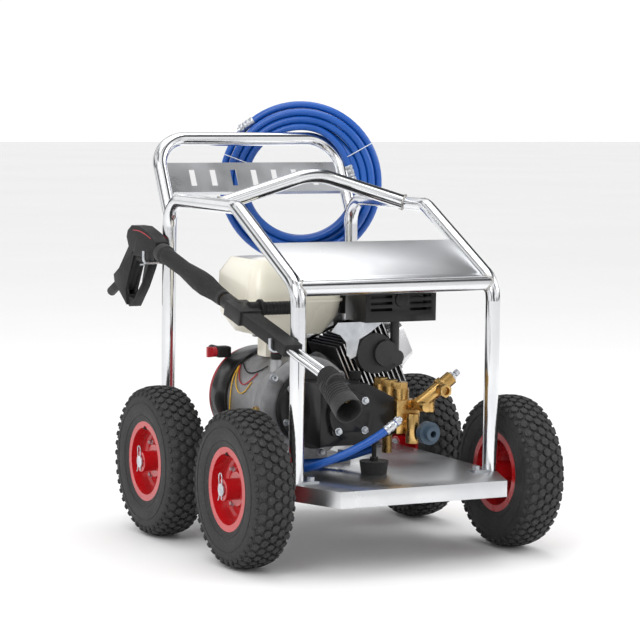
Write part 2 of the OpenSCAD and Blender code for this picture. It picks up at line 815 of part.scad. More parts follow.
module engine_switch() {
    p = switch_at + [-16 - gap, 0, 12];
    color("firebrick") {
        x_rod(p[0] - 10, p[0], p[1], p[2], 22);
        block([p[0] - 20, p[0] - 9], [p[1] - 4, p[1] + 4], [p[2] - 11, p[2] + 11]);
    }
}

/* ---- Pump ---- */

gear_case_r = 86;
gear_wall = 5;
gear_face_y = gear_front_y + gear_wall + 1;
gear_web = 3;
gear_len = 12;

// Round adapter that bolts to the engine and holds the reduction gears
module gearbox_housing() {
    color(black) difference() {
        y_rod(pump_x - 12, crank_z, gear_front_y, pto_y - gap, 2 * gear_case_r);
        y_rod(pump_x - 12, crank_z, gear_front_y + gear_wall, pto_y - gap + e, 2 * (gear_case_r - gear_wall));
        y_rod(pump_x, crank_z, gear_front_y - e, gear_front_y + gear_wall + e, journal_d + 10);
    }
}

pump_half = 64;
pump_outline = [
    [pump_x - pump_half, crank_z - pump_half], [pump_x + 40, crank_z - pump_half],
    [head_x - gap, crank_z - 46], [head_x - gap, crank_z + 32],
    [pump_x + 46, crank_z + pump_half], [pump_x - pump_half, crank_z + pump_half]
];
pump_wall = 4;
boss_d = 100;
boss_bolt = 31;
gear_front_gap_y = gear_front_y - gap;

module plunger_rows() {
    for (i = [-1:1]) translate([0, pump_mid_y + i * plunger_pitch, 0]) children();
}

// Cast crankcase that narrows towards the head
module pump_crankcase() {
    color(black) difference() {
        on_xz(gear_front_gap_y) linear_extrude(gear_front_gap_y - pump_front_y) polygon(pump_outline);
        on_xz(gear_front_gap_y - pump_wall) linear_extrude(gear_front_gap_y - pump_front_y - 2 * pump_wall)
            polygon(inset(pump_outline, pump_wall));
        y_rod(pump_x, crank_z, gear_front_gap_y - pump_wall - e, gear_front_gap_y + e, journal_d + 2 * run);
        y_rod(pump_x, crank_z, pump_front_y - e, pump_front_y + pump_wall + e, 66);
        plunger_rows() x_rod(head_x - 12, head_x + e, 0, plunger_z, plunger_d + 2 * run);
        translate([dip_x, dip_y, crank_z + 20]) cylinder(d = 20, h = 60);
    }
}

plunger_z = crank_z - 7;
dip_x = -34;
dip_y = -176;

module pump_cover() {
    color(black) difference() {
        union() {
            y_rod(pump_x, crank_z, boss_front_y, pump_front_y - gap, boss_d);
            for (x = [-boss_bolt, boss_bolt], z = [-boss_bolt, boss_bolt])
                y_rod(pump_x + x, crank_z + z, boss_front_y + 4, pump_front_y - gap, 24);
            y_rod(pump_x, crank_z, pump_front_y - gap - e, pump_front_y + pump_wall + 2, 65);
        }
        y_rod(pump_x, crank_z, boss_front_y + 5, pump_front_y + pump_wall + 3, journal_d - 5 + 2 * run);
    }
    color(zinc) for (x = [-boss_bolt, boss_bolt], z = [-boss_bolt, boss_bolt])
        y_rod(pump_x + x, crank_z + z, boss_front_y - 2, boss_front_y + 4, 14);
}

// Pump crankshaft with three eccentrics, driven through its internal ring gear
module pump_shaft() {
    tooth = gear_module * 1.15;
    color(zinc) {
        y_rod(pump_x, crank_z, boss_front_y + 6, pump_front_y + 20, journal_d - 5);
        y_rod(pump_x, crank_z, pump_front_y + 19, gear_face_y + 1, journal_d);
        for (i = [-1:1]) y_rod(pump_x + 6 * cos(120 * i), crank_z + 6 * sin(120 * i),
                               pump_mid_y + i * plunger_pitch - 8, pump_mid_y + i * plunger_pitch + 8, 58);
        y_rod(pump_x, crank_z, gear_face_y, gear_face_y + gear_web, 2 * pitch_r_ring + 20);
        translate([pump_x, gear_face_y + gear_web + gear_len, crank_z]) rotate([90, 0, 0])
            linear_extrude(gear_len + 0.5) {
                difference() {
                    circle(r = pitch_r_ring + 10);
                    circle(r = pitch_r_ring + 3);
                }
                for (i = [0:ring_teeth - 1]) rotate((i + 0.5) * 360 / ring_teeth)
                    translate([pitch_r_ring - 1.6, 0])
                        polygon([[0, -tooth / 2.6], [5.2, -1.5], [5.2, 1.5], [0, tooth / 2.6]]);
            }
    }
}

module plungers() {
    color("white") plunger_rows() x_rod(-48, head_x + 36, 0, plunger_z, plunger_d);
}

cap_d = 34;

// Forged head: three plunger bores, a valve cap over and under each, and the inlet manifold
module pump_head() {
    x1 = head_x + head_w;
    y = [pump_mid_y - head_half_l, pump_mid_y + head_half_l];
    color("goldenrod") difference() {
        union() {
            block([head_x, x1], y, [crank_z - 44, crank_z + 26]);
            plunger_rows() translate([head_x + 24, 0, crank_z + 25]) cylinder(d = cap_d, h = 24);
            plunger_rows() hex_head([head_x + 24, 0, crank_z + 48], [0, 0, 1], 27, 14);
            plunger_rows() x_rod(x1 - 1, x1 + 10, 0, plunger_z, 30);
            // Inlet barrel in front of the head, with its plug below
            translate([inlet[0], inlet[1] + 20, crank_z - 62]) cylinder(d = 28, h = 62);
            y_rod(inlet[0], crank_z - 24, y[0] - 14, y[0] + 1, 24);
            y_rod(inlet[0] + 20, inlet[2], inlet[1] - 2, inlet[1] + 20, 24);
            rod([inlet[0], inlet[1] + 20, inlet[2]], [inlet[0] + 20, inlet[1] + 12, inlet[2]], 22);
            // Bypass return port under the head
            translate([bypass_port[0], bypass_port[1], bypass_port[2] - 11]) cylinder(d = 22, h = 55);
        }
        plunger_rows() x_rod(head_x - e, head_x + 40, 0, plunger_z, plunger_d + 2 * run);
        y_rod(inlet[0] + 20, inlet[2], inlet[1] - 3, inlet[1] + 12, 15);
    }
}

inlet = [42, -312, 272];
bypass_port = [head_x + 26, -186, 225];

module inlet_coupling() {
    p = inlet + [20, 0, 0];
    color([0.1, 0.14, 0.19]) difference() {
        union() {
            y_rod(p[0], p[2], p[1] - 20, p[1] - 2 - gap, 48);
            y_rod(p[0], p[2], p[1] - 34, p[1] - 19, 30);
        }
        y_rod(p[0], p[2], p[1] - 35, p[1] + 2, 14);
    }
}

unl_from = [52, -294, 326];
unl_dir = unit([96, 0, 68]);
unl_len = 98;

// Unloader valve, its two ports and the outlet union
module unloader_valve() {
    p = unl_from + unl_dir * 58;
    color("goldenrod") difference() {
        union() {
            rod_along(unl_from, unl_dir, unl_len, 30);
            hex_head(unl_from + unl_dir * 62, unl_dir, 34, 12);
            y_rod(unl_from[0] + 6, unl_from[2] + 4, unl_from[1] - 2, pump_mid_y - head_half_l - gap, 22);
            rod_along(p, [0, -1, 0], 34, 22);
            hex_head(p - [0, 24, 0], [0, -1, 0], 25, 13);
            rod_along(unl_from + unl_dir * 36, [0, 0, -1], 34, 22);
            // Swivel for the bypass hose
            rod_along(unl_from + unl_dir * 2, [0, -1, 0], 36, 20);
        }
        rod_along(p - [0, 26, 0], [0, -1, 0], 20, outlet_bore);
        rod_along(unl_from + unl_dir * (unl_len - 30), unl_dir, 40, 8 + 2 * run);
    }
}

outlet_bore = 16.7;

module unloader_knob() {
    p = unl_from + unl_dir * (unl_len - 28);
    color(zinc) {
        rod_along(p, unl_dir, 44, 8);
        hex_head(p + unl_dir * 30, unl_dir, 20, 4);
        hex_head(p + unl_dir * 40, unl_dir, 13, 9);
    }
}

module pump_dipstick() {
    color(black) {
        translate([dip_x, dip_y, pump_top(dip_x) + 8]) cylinder(d = 26, h = 16);
        translate([dip_x, dip_y, crank_z + 14]) cylinder(d = 18, h = pump_top(dip_x) - crank_z - 5);
    }
}

// Height of the crankcase's sloping top
function pump_top(x) =
    let (a = pump_outline[3], b = pump_outline[4])
    x < b[0] ? b[1] : b[1] + (a[1] - b[1]) * (x - b[0]) / (a[0] - b[0]);

// Rubber foot on the tray, with its stud and two nuts up to the crankcase
module pump_foot() {
    color(black) translate([foot_x, foot_y, tray_top]) cylinder(d1 = foot_d - 8, d2 = foot_d, h = 28);
    color(zinc) {
        translate([foot_x, foot_y, tray_top + 28]) cylinder(d = 10, h = pump_floor(foot_x) - tray_top - 29.8);
        hex_head([foot_x, foot_y, tray_top + 28], [0, 0, 1], 17, 8);
        hex_head([foot_x, foot_y, pump_floor(foot_x) - 13.5], [0, 0, 1], 17, 9);
    }
}

function pump_floor(x) =
    let (a = pump_outline[1], b = pump_outline[2])
    x < a[0] ? a[1] : a[1] + (b[1] - a[1]) * (x - a[0]) / (b[0] - a[0]);

/* ---- Lance ---- */

lance_a = 13.3;
lance_o = [-lance_x, 0, 541.6];
lance_l = [0, -cos(lance_a), -sin(lance_a)];
half_len = 603;
shroud_a = 28.5;
shroud_l = [0, -cos(shroud_a), -sin(shroud_a)];
shroud_d = [50, 57];
shroud_len = 94;
mouth = [-lance_x, -half_len + shroud_d[1] / 2 * sin(shroud_a), 367];
hook_reach = 26;
hooks = [[hoop_front_y, 454.4], [hoop_rear_y, 589.4]];
grip_s = [-318, 22];

module on_lance(s) {
    translate(lance_o + lance_l * s) rotate([90 + lance_a, 0, 0]) children();
}

module in_lance_plane(w) {
    on_yz(-lance_x - w / 2) linear_extrude(w) children();
}

gun_outline = [
    [318, 594], [450, 560], [465, 480], [543, 530], [549, 548], [518, 565], [462, 619], [474, 640],
    [468, 655], [445, 668], [400, 668], [350, 655], [309, 637]
];
guard_outline = [
    [352, 596], [365, 575], [400, 530], [450, 482], [468, 480], [500, 505], [486, 516], [459, 554],
    [433, 600]
];
finger_gap = [[380, 586], [432, 590], [455, 556], [478, 520], [472, 504], [440, 499], [396, 541]];
trigger_outline = [[428, 616], [446, 616], [472, 560], [494, 524], [482, 516], [458, 553], [433, 588], [424, 600]];
trigger_slot = [[416, 626], [456, 626], [505, 565], [517, 530], [496, 506], [474, 506], [452, 545], [424, 590]];
trigger_pivot = [-lance_x, 436, 606];
latch_pivot = [-lance_x, 408, 600];
inlet_dir = [0, 0.9, -0.436];
inlet_d = 22;
inlet_end = [-lance_x, half_len - inlet_d / 2 * abs(unit(inlet_dir)[2]), 504];

// Gun shell with its grip, finger guard and brass inlet
module gun_body() {
    color(black) difference() {
        union() {
            in_lance_plane(32) polygon([
                [318, 594], [400, 600], [433, 600], [459, 554], [478, 520], [472, 484], [543, 530], [549, 548],
                [518, 565], [462, 619], [474, 640], [468, 655], [445, 668], [400, 668], [350, 655], [309, 637]
            ]);
            in_lance_plane(22) polygon(guard_outline);
        }
        in_lance_plane(40) polygon(finger_gap);
        in_lance_plane(15) polygon(trigger_slot);
        x_rod(-lance_x - 30, -lance_x + 30, trigger_pivot[1], trigger_pivot[2], 6 + 2 * run);
    }
    color("goldenrod") difference() {
        rod(inlet_end - unit(inlet_dir) * 60, inlet_end, inlet_d);
        rod(inlet_end - unit(inlet_dir) * 20, inlet_end + unit(inlet_dir), 12);
        in_lance_plane(15) polygon(trigger_slot);
        in_lance_plane(40) polygon(gun_outline);
    }
}

module trigger() {
    color(black) in_lance_plane(14) polygon(trigger_outline);
    color(zinc) x_rod(-lance_x - 15, -lance_x + 15, trigger_pivot[1], trigger_pivot[2], 6);
}

// Wire safety latch in front of the trigger
module safety_latch() {
    color("khaki") {
        x_rod(-lance_x - 14, -lance_x + 14, latch_pivot[1] - 10, latch_pivot[2] - 19, 4);
        for (s = [-1, 1]) rod([-lance_x + s * 13.2, latch_pivot[1] - 10, latch_pivot[2] - 19],
                              [-lance_x + s * 13.2, latch_pivot[1] - 42, latch_pivot[2] - 14], 3);
    }
}

// Ribbed insulated grip, swelling towards its front end
module lance_grip() {
    l = grip_s[1] - grip_s[0];
    color(black) on_lance(grip_s[0]) difference() {
        union() {
            cylinder(d = grip_d + 8, h = 26);
            cylinder(d = grip_d, h = l);
            translate([0, 0, l - 215]) cylinder(d1 = grip_d, d2 = grip_d + 12, h = 85);
            translate([0, 0, l - 130]) cylinder(d = grip_d + 12, h = 30);
            translate([0, 0, l - 100]) cylinder(d1 = grip_d + 12, d2 = grip_d + 2, h = 50);
        }
        translate([0, 0, -e]) cylinder(d = 16 + 2 * gap, h = l + 2 * e);
    }
}

tube_gap = 22;
block_s = [34, 150];
cover_end_s = 356;
tubes_end_s = 506;
side_s = 118;
side_rise = 10;

// Gun tube, change-over block, the two lance tubes and their nozzles
module lance_tubes() {
    color("goldenrod") on_lance(grip_s[0] + 1) cylinder(d = 16, h = block_s[0] - grip_s[0]);
    color(black) on_lance(block_s[0]) difference() {
        union() {
            cylinder(d = 34, h = 60);
            translate([-25, -16, 40]) cube([50, 32, block_s[1] - block_s[0] - 40]);
            translate([-20, -12, block_s[1] - block_s[0] - e]) cube([40, 24, cover_end_s - block_s[1]]);
            translate([10, side_rise, side_s - block_s[0]]) rotate([0, 90, 0]) cylinder(d = 30, h = 22);
        }
        translate([12, side_rise, side_s - block_s[0]]) rotate([0, 90, 0]) cylinder(d = 14 + 2 * run, h = 30);
    }
    color(zinc) for (s = [-1, 1]) translate([s * tube_gap / 2, 0, 0])
        on_lance(cover_end_s - 4) cylinder(d = 12, h = tubes_end_s - cover_end_s + 30);
}

side_pivot = lance_o + lance_l * side_s + [0, -sin(lance_a), cos(lance_a)] * side_rise;

// Handle that turns to open the second tube
module side_handle() {
    x0 = -lance_x + 32 + gap;
    color(black) {
        x_rod(-lance_x + 13, x0 + 2, side_pivot[1], side_pivot[2], 14);
        x_rod(x0, x0 + 8, side_pivot[1], side_pivot[2], 40);
        x_rod(x0 + 8, x0 + side_handle_len - 12, side_pivot[1], side_pivot[2], 29);
    }
}

// Bellows and the shroud around both nozzles
module nozzle_shroud() {
    color(black) difference() {
        union() {
            on_lance(tubes_end_s) for (i = [0:4]) translate([0, 0, i * 6]) cylinder(d1 = 38, d2 = 44, h = 6);
            on_lance(tubes_end_s + 28) cylinder(d = 44, h = 14);
            translate(mouth) rotate([90 + shroud_a, 0, 0]) translate([0, 0, -shroud_len])
                cylinder(d1 = shroud_d[0], d2 = shroud_d[1], h = shroud_len);
        }
        for (s = [-1, 1]) translate([s * tube_gap / 2, 0, 0])
            on_lance(tubes_end_s - 5) cylinder(d = 12 + 2 * run, h = 50);
        translate(mouth) rotate([90 + shroud_a, 0, 0]) translate([0, 0, -shroud_len + 26])
            cylinder(d1 = shroud_d[0] - 8, d2 = shroud_d[1] - 8, h = shroud_len);
    }
    for (s = [-1, 1]) color(s < 0 ? "white" : "peru")
        translate(mouth) rotate([90 + shroud_a, 0, 0]) translate([s * tube_gap / 2, 4, -shroud_len + 25])
            cylinder(d = 13, h = 40);
}

/* ---- Hoses ---- */

coil_c = [151, 454, 761];
coil_yaw = 26;
coil_r = [123, 191];
coil_t = 3 * hose_d;

module hose_coil() {
    color("royalblue") translate(coil_c) rotate([90, 0, -coil_yaw]) rotate_extrude($fn = 96)
        translate([coil_r[0], -coil_t / 2]) square([coil_r[1] - coil_r[0], coil_t]);
}

// Middle line of the bypass hose, from the unloader round the tray to the head's return port
bypass_route = [
    [-12, -330, 304], [-40, -328, 284], [-85, -318, 256], [-130, -297, 231], [-168, -264, 209],
    [-192, -222, 195], [-200, -176, 189], [-188, -134, 188], [-152, -108, 188], [-108, -104, 188],
    [-66, -116, 191], [-30, -136, 201], [-2, -160, 214], [14, -174, 221]
];

// Smooth point on the route between its points i and i + 1
function route_point(r, i, t) =
    let (
        n = len(r),
        p0 = r[max(i - 1, 0)], p1 = r[i], p2 = r[min(i + 1, n - 1)], p3 = r[min(i + 2, n - 1)]
    )
    0.5 * (2 * p1 + (p2 - p0) * t + (2 * p0 - 5 * p1 + 4 * p2 - p3) * t * t
        + (3 * p1 - p0 - 3 * p2 + p3) * t * t * t);

function route_line(r, steps) = [
    for (i = [0:len(r) - 2], k = [0:steps - 1]) route_point(r, i, k / steps), r[len(r) - 1]
];

// Round tube swept along a line of points
module sweep(line, d, sides) {
    n = len(line);
    rings = [
        for (i = [0:n - 1])
            let (
                t = unit(line[min(i + 1, n - 1)] - line[max(i - 1, 0)]),
                a = unit(cross(t, [0, 0, 1])),
                b = cross(t, a)
            )
            for (k = [0:sides - 1]) line[i] + (a * cos(360 * k / sides) + b * sin(360 * k / sides)) * d / 2
    ];
    walls = [
        for (i = [0:n - 2], k = [0:sides - 1])
            let (k2 = (k + 1) % sides)
            [i * sides + k, i * sides + k2, (i + 1) * sides + k2, (i + 1) * sides + k]
    ];
    caps = [[for (k = [0:sides - 1]) sides - 1 - k], [for (k = [0:sides - 1]) (n - 1) * sides + k]];
    polyhedron(rings, concat(walls, caps), convexity = 6);
}

module bypass_hose() {
    color("royalblue") sweep(route_line(bypass_route, 2), hose_d, 10);
}

base_tray();
left_hoop();
right_hoop();
front_cross_tube();
lifting_arch();
front_panel();
push_handle();
rear_panel();
hoop_feet();
axles();
lance_hooks();
front_left_tyre();
front_right_tyre();
rear_left_tyre();
rear_right_tyre();
front_left_rim();
front_right_rim();
rear_left_rim();
rear_right_rim();
crankcase();
side_cover();
barrel();
cylinder_head();
rocker_cover();
piston();
crankshaft();
flywheel();
blower_housing();
recoil_cover();
recoil_handle();
fuel_tank();
fuel_cap();
carburettor();
throttle_lever();
air_cleaner();
muffler();
muffler_guard();
heat_deflector();
engine_fittings();
engine_switch();
gearbox_housing();
pump_crankcase();
pump_cover();
pump_shaft();
plungers();
pump_head();
unloader_valve();
unloader_knob();
inlet_coupling();
pump_dipstick();
pump_foot();
gun_body();
trigger();
safety_latch();
lance_grip();
lance_tubes();
side_handle();
nozzle_shroud();
hose_coil();
bypass_hose();
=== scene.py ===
import math

import bpy
from mathutils import Matrix, Vector


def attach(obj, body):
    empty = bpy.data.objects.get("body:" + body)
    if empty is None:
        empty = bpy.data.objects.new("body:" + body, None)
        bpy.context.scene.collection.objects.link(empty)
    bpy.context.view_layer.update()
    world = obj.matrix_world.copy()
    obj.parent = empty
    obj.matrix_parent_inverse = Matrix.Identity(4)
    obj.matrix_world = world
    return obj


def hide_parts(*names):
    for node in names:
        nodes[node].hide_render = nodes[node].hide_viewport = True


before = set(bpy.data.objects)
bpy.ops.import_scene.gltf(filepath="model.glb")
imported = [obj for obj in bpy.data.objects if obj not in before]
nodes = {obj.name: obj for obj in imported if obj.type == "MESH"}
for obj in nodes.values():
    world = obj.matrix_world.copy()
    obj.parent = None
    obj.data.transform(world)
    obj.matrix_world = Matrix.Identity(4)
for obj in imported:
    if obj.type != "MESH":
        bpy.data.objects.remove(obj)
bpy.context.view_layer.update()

# ---- Camera ----
# A long lens a little above the ground, level with the pump, looking in over the left front wheel.
CAMERA_PLACE = (-2.598, -4.949, 1.014)
CAMERA_YAW, CAMERA_PITCH, CAMERA_ROLL = 27.44, 5.44, 0.76

bpy.ops.object.select_all(action="DESELECT")
bpy.ops.object.camera_add(location=CAMERA_PLACE)
camera = bpy.context.object
camera.name = "camera"
camera.data.lens = 144.7
camera.data.sensor_width = 36
camera.data.clip_end = 60
turn = (
    Matrix.Rotation(math.radians(-CAMERA_YAW), 3, "Z")
    @ Matrix.Rotation(math.radians(90 - CAMERA_PITCH), 3, "X")
    @ Matrix.Rotation(math.radians(CAMERA_ROLL), 3, "Z")
)
camera.rotation_euler = turn.to_euler()
bpy.context.scene.camera = camera

# ---- Shared finishes ----
# Three effects that the finishes share: uneven colour, surface grain and worn edges.


def new_group(name, inputs, outputs):
    """An empty shader group with float or colour sockets."""
    group = bpy.data.node_groups.new(name, "ShaderNodeTree")
    for label, kind, start in inputs:
        socket = group.interface.new_socket(label, in_out="INPUT", socket_type=kind)
        socket.default_value = start
    for label, kind in outputs:
        group.interface.new_socket(label, in_out="OUTPUT", socket_type=kind)
    return (
        group,
        group.nodes.new("NodeGroupInput").outputs,
        group.nodes.new("NodeGroupOutput").inputs,
    )


COLOUR, NUMBER, VECTOR = "NodeSocketColor", "NodeSocketFloat", "NodeSocketVector"


def noise(tree, scale, detail=4.0, rough=0.55):
    """Noise on the object's own coordinates."""
    place = tree.nodes.new("ShaderNodeTexCoord")
    n = tree.nodes.new("ShaderNodeTexNoise")
    n.inputs["Detail"].default_value = detail
    n.inputs["Roughness"].default_value = rough
    if isinstance(scale, (int, float)):
        n.inputs["Scale"].default_value = scale
    else:
        tree.links.new(scale, n.inputs["Scale"])
    tree.links.new(place.outputs["Object"], n.inputs["Vector"])
    return n.outputs["Fac"]


def ranged(tree, value, low, high, out_low=0.0, out_high=1.0):
    """A value mapped from one range to another."""
    r = tree.nodes.new("ShaderNodeMapRange")
    for socket, v in zip(
        list(r.inputs)[1:5], (low, high, out_low, out_high), strict=True
    ):
        if isinstance(v, (int, float)):
            socket.default_value = v
        else:
            tree.links.new(v, socket)
    tree.links.new(value, r.inputs[0])
    return r.outputs[0]


def mixed(tree, factor, a, b):
    """Colour a where the factor is 0, b where it is 1."""
    m = tree.nodes.new("ShaderNodeMix")
    m.data_type = "RGBA"
    if isinstance(factor, (int, float)):
        m.inputs[0].default_value = factor
    else:
        tree.links.new(factor, m.inputs[0])
    for socket, v in ((m.inputs[6], a), (m.inputs[7], b)):
        if isinstance(v, tuple):
            socket.default_value = v
        else:
            tree.links.new(v, socket)
    return m.outputs[2]


mottle, g_in, g_out = new_group(
    "mottle",
    [
        ("Colour", COLOUR, (0.5, 0.5, 0.5, 1)),
        ("Second colour", COLOUR, (0.4, 0.4, 0.4, 1)),
        ("Scale", NUMBER, 12.0),
        ("Dust", NUMBER, 0.1),
    ],
    [("Colour", COLOUR), ("Cloud", NUMBER)],
)
cloud = ranged(mottle, noise(mottle, g_in["Scale"]), 0.35, 0.65)
speck = ranged(mottle, noise(mottle, 900.0, 2.0), 0.62, 0.72)
dust = mottle.nodes.new("ShaderNodeMath")
dust.operation = "MULTIPLY"
mottle.links.new(speck, dust.inputs[0])
mottle.links.new(g_in["Dust"], dust.inputs[1])
body = mixed(mottle, cloud, g_in["Colour"], g_in["Second colour"])
mottle.links.new(
    mixed(mottle, dust.outputs[0], body, (0.5, 0.48, 0.45, 1)), g_out["Colour"]
)
mottle.links.new(cloud, g_out["Cloud"])

worn, g_in, g_out = new_group(
    "worn_edges",
    [
        ("Colour", COLOUR, (0.1, 0.1, 0.1, 1)),
        ("Worn colour", COLOUR, (0.6, 0.6, 0.6, 1)),
        ("Amount", NUMBER, 0.5),
    ],
    [("Colour", COLOUR), ("Worn", NUMBER)],
)
edge = worn.nodes.new("ShaderNodeNewGeometry").outputs["Pointiness"]
patchy = ranged(worn, noise(worn, 160.0, 6.0), 0.4, 0.62)
edge_mask = ranged(worn, edge, 0.52, 0.6)
rubbed = worn.nodes.new("ShaderNodeMath")
rubbed.operation = "MULTIPLY"
worn.links.new(edge_mask, rubbed.inputs[0])
worn.links.new(patchy, rubbed.inputs[1])
amount = worn.nodes.new("ShaderNodeMath")
amount.operation = "MULTIPLY"
amount.use_clamp = True
worn.links.new(rubbed.outputs[0], amount.inputs[0])
worn.links.new(g_in["Amount"], amount.inputs[1])
worn.links.new(
    mixed(worn, amount.outputs[0], g_in["Colour"], g_in["Worn colour"]),
    g_out["Colour"],
)
worn.links.new(amount.outputs[0], g_out["Worn"])

grain, g_in, g_out = new_group(
    "grain",
    [("Scale", NUMBER, 600.0), ("Height", NUMBER, 0.2)],
    [("Normal", VECTOR)],
)
bump = grain.nodes.new("ShaderNodeBump")
bump.inputs["Distance"].default_value = 0.0006
grain.links.new(noise(grain, g_in["Scale"], 3.0), bump.inputs["Height"])
grain.links.new(g_in["Height"], bump.inputs["Strength"])
grain.links.new(bump.outputs[0], g_out["Normal"])


def place_group(tree, group, values):
    """A shared group in a material's tree, with plain values or links on its inputs."""
    n = tree.nodes.new("ShaderNodeGroup")
    n.node_tree = group
    for label, v in values.items():
        if isinstance(v, (int, float, tuple)):
            n.inputs[label].default_value = v
        else:
            tree.links.new(v, n.inputs[label])
    return n.outputs


def finish_material(
    name,
    colour,
    second,
    rough,
    metallic=0.0,
    scale=14.0,
    dust=0.05,
    wear=None,
    wear_amount=0.6,
    grain_scale=900.0,
    grain_height=0.1,
    coat=0.0,
    sheen=0.0,
    gloss=0.5,
):
    """A finish with uneven colour and gloss, a surface grain and, if asked, worn edges."""
    m = bpy.data.materials.new(name)
    m.use_nodes = True
    tree = m.node_tree
    shader = tree.nodes["Principled BSDF"]
    base = place_group(
        tree,
        mottle,
        {
            "Colour": (*colour, 1),
            "Second colour": (*second, 1),
            "Scale": scale,
            "Dust": dust,
        },
    )
    colour_out = base["Colour"]
    if wear:
        edges = place_group(
            tree,
            worn,
            {"Colour": colour_out, "Worn colour": (*wear, 1), "Amount": wear_amount},
        )
        colour_out = edges["Colour"]
        tree.links.new(
            ranged(tree, edges["Worn"], 0.0, 1.0, metallic, 1.0),
            shader.inputs["Metallic"],
        )
    else:
        shader.inputs["Metallic"].default_value = metallic
    tree.links.new(colour_out, shader.inputs["Base Color"])
    tree.links.new(
        ranged(tree, base["Cloud"], 0.0, 1.0, rough[0], rough[1]),
        shader.inputs["Roughness"],
    )
    tree.links.new(
        place_group(tree, grain, {"Scale": grain_scale, "Height": grain_height})[
            "Normal"
        ],
        shader.inputs["Normal"],
    )
    shader.inputs["Coat Weight"].default_value = coat
    shader.inputs["Specular IOR Level"].default_value = gloss
    shader.inputs["Coat Roughness"].default_value = 0.12
    shader.inputs["Sheen Weight"].default_value = sheen
    return m


def paint(material, *names):
    """Gives CAD nodes their finish."""
    for name in names:
        data = nodes[name].data
        data.materials.clear()
        data.materials.append(material)


def rounded(name, smooth_angle=35):
    """Shades a CAD node's curved faces smooth, without a change to its mesh."""
    bpy.ops.object.select_all(action="DESELECT")
    nodes[name].select_set(True)
    bpy.context.view_layer.objects.active = nodes[name]
    bpy.ops.object.shade_smooth_by_angle(angle=math.radians(smooth_angle))


def deselect():
    bpy.ops.object.select_all(action="DESELECT")


def to_edit(obj):
    deselect()
    obj.select_set(True)
    bpy.context.view_layer.objects.active = obj
    bpy.ops.object.mode_set(mode="EDIT")
    bpy.ops.mesh.select_all(action="DESELECT")


def to_object():
    bpy.ops.object.mode_set(mode="OBJECT")


def settle(obj):
    """Puts the object's place, turn and size into its mesh."""
    deselect()
    obj.select_set(True)
    bpy.context.view_layer.objects.active = obj
    bpy.ops.object.transform_apply(location=True, rotation=True, scale=True)


def smoothed(obj, angle=35):
    deselect()
    obj.select_set(True)
    bpy.context.view_layer.objects.active = obj
    bpy.ops.object.shade_smooth_by_angle(angle=math.radians(angle))


def turned(name, rings, steps=48, closed=False):
    """A turned shape round the X axis; open ends with a radius are filled.

    rings are (radius, place along X), drawn out ring by ring from a circle.
    """
    deselect()
    first = rings[0]
    bpy.ops.mesh.primitive_circle_add(
        vertices=steps,
        radius=first[0],
        fill_type="NOTHING" if closed else "NGON",
        rotation=(0, math.radians(90), 0),
        location=(first[1], 0, 0),
    )
    obj = bpy.context.object
    obj.name = name
    settle(obj)
    bpy.ops.object.mode_set(mode="EDIT")
    bpy.ops.mesh.select_all(action="SELECT")
    if not closed:
        bpy.ops.mesh.select_mode(type="EDGE")
        bpy.ops.mesh.select_all(action="SELECT")
    path = rings[1:] + ([first] if closed else [])
    r0, x0 = first
    for r, x in path:
        bpy.ops.mesh.extrude_edges_move()
        bpy.ops.transform.translate(value=(x - x0, 0, 0))
        bpy.ops.transform.resize(value=(1, r / r0, r / r0), center_override=(x, 0, 0))
        r0, x0 = r, x
    if not closed:
        bpy.ops.mesh.edge_face_add()
    bpy.ops.mesh.select_all(action="SELECT")
    bpy.ops.mesh.remove_doubles(threshold=0.00001)
    bpy.ops.mesh.normals_make_consistent(inside=False)
    to_object()
    return obj


def joined(name, parts):
    """Joins the parts into the first one."""
    deselect()
    for part in parts:
        part.select_set(True)
    bpy.context.view_layer.objects.active = parts[0]
    bpy.ops.object.join()
    obj = bpy.context.object
    obj.name = name
    return obj


def copies(obj, name, matrix):
    """A copy with its own mesh, moved within that mesh."""
    twin = obj.copy()
    twin.data = obj.data.copy()
    twin.name = name
    bpy.context.collection.objects.link(twin)
    twin.data.transform(matrix)
    return twin




def aimed(at, direction, size=1.0):
    """A matrix that puts a shape standing on Z at a point, pointing along a direction."""
    spin = Vector(direction).to_track_quat("Z", "Y").to_matrix().to_4x4()
    return Matrix.Translation(Vector(at)) @ spin @ Matrix.Scale(size, 4)


def along_x(at, direction):
    """The same for a turned shape, whose axis is X."""
    return aimed(at, direction) @ Matrix.Rotation(math.radians(-90), 4, "Y")


def finished(obj, material, body, angle=35):
    """The last steps of every piece: its finish and the body that it rides on."""
    if obj.type == "MESH":
        smoothed(obj, angle)
    obj.data.materials.clear()
    obj.data.materials.append(material)
    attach(obj, body)
    return obj


def many(name, model, places, material, body):
    """Copies of one modelled part at several places, joined into one piece."""
    parts = [copies(model, name, matrix) for matrix in places]
    return finished(joined(name, parts), material, body)


zinc = finish_material(
    "zinc",
    (0.62, 0.64, 0.67),
    (0.5, 0.52, 0.55),
    (0.25, 0.42),
    metallic=1.0,
    scale=40.0,
    dust=0.02,
    grain_scale=1400.0,
    grain_height=0.12,
)
# ---- High-pressure hose ----
# Ten metres of smooth blue hose, wound in four rows of up to three turns and hung
# on the push handle. Its ends are crimped in bright ferrules, and two ties hold it.
HOSE_D = 0.017
COIL_CENTRE = Vector((0.151, 0.454, 0.761))
COIL_YAW = math.radians(-26)
COIL_ACROSS = Vector((math.cos(COIL_YAW), math.sin(COIL_YAW), 0))
COIL_SIDE = Vector((-math.sin(COIL_YAW), math.cos(COIL_YAW), 0))
COIL_UP = Vector((0, 0, 1))
COIL_FIRST_R = 0.1319
COIL_STEP = 0.01705
COIL_LENGTH = 10.0
SHIFT_ARC = 36.0
START_ANGLE = 379.0
INNER_TUCK = 0.012
POINTS_PER_TURN = 36


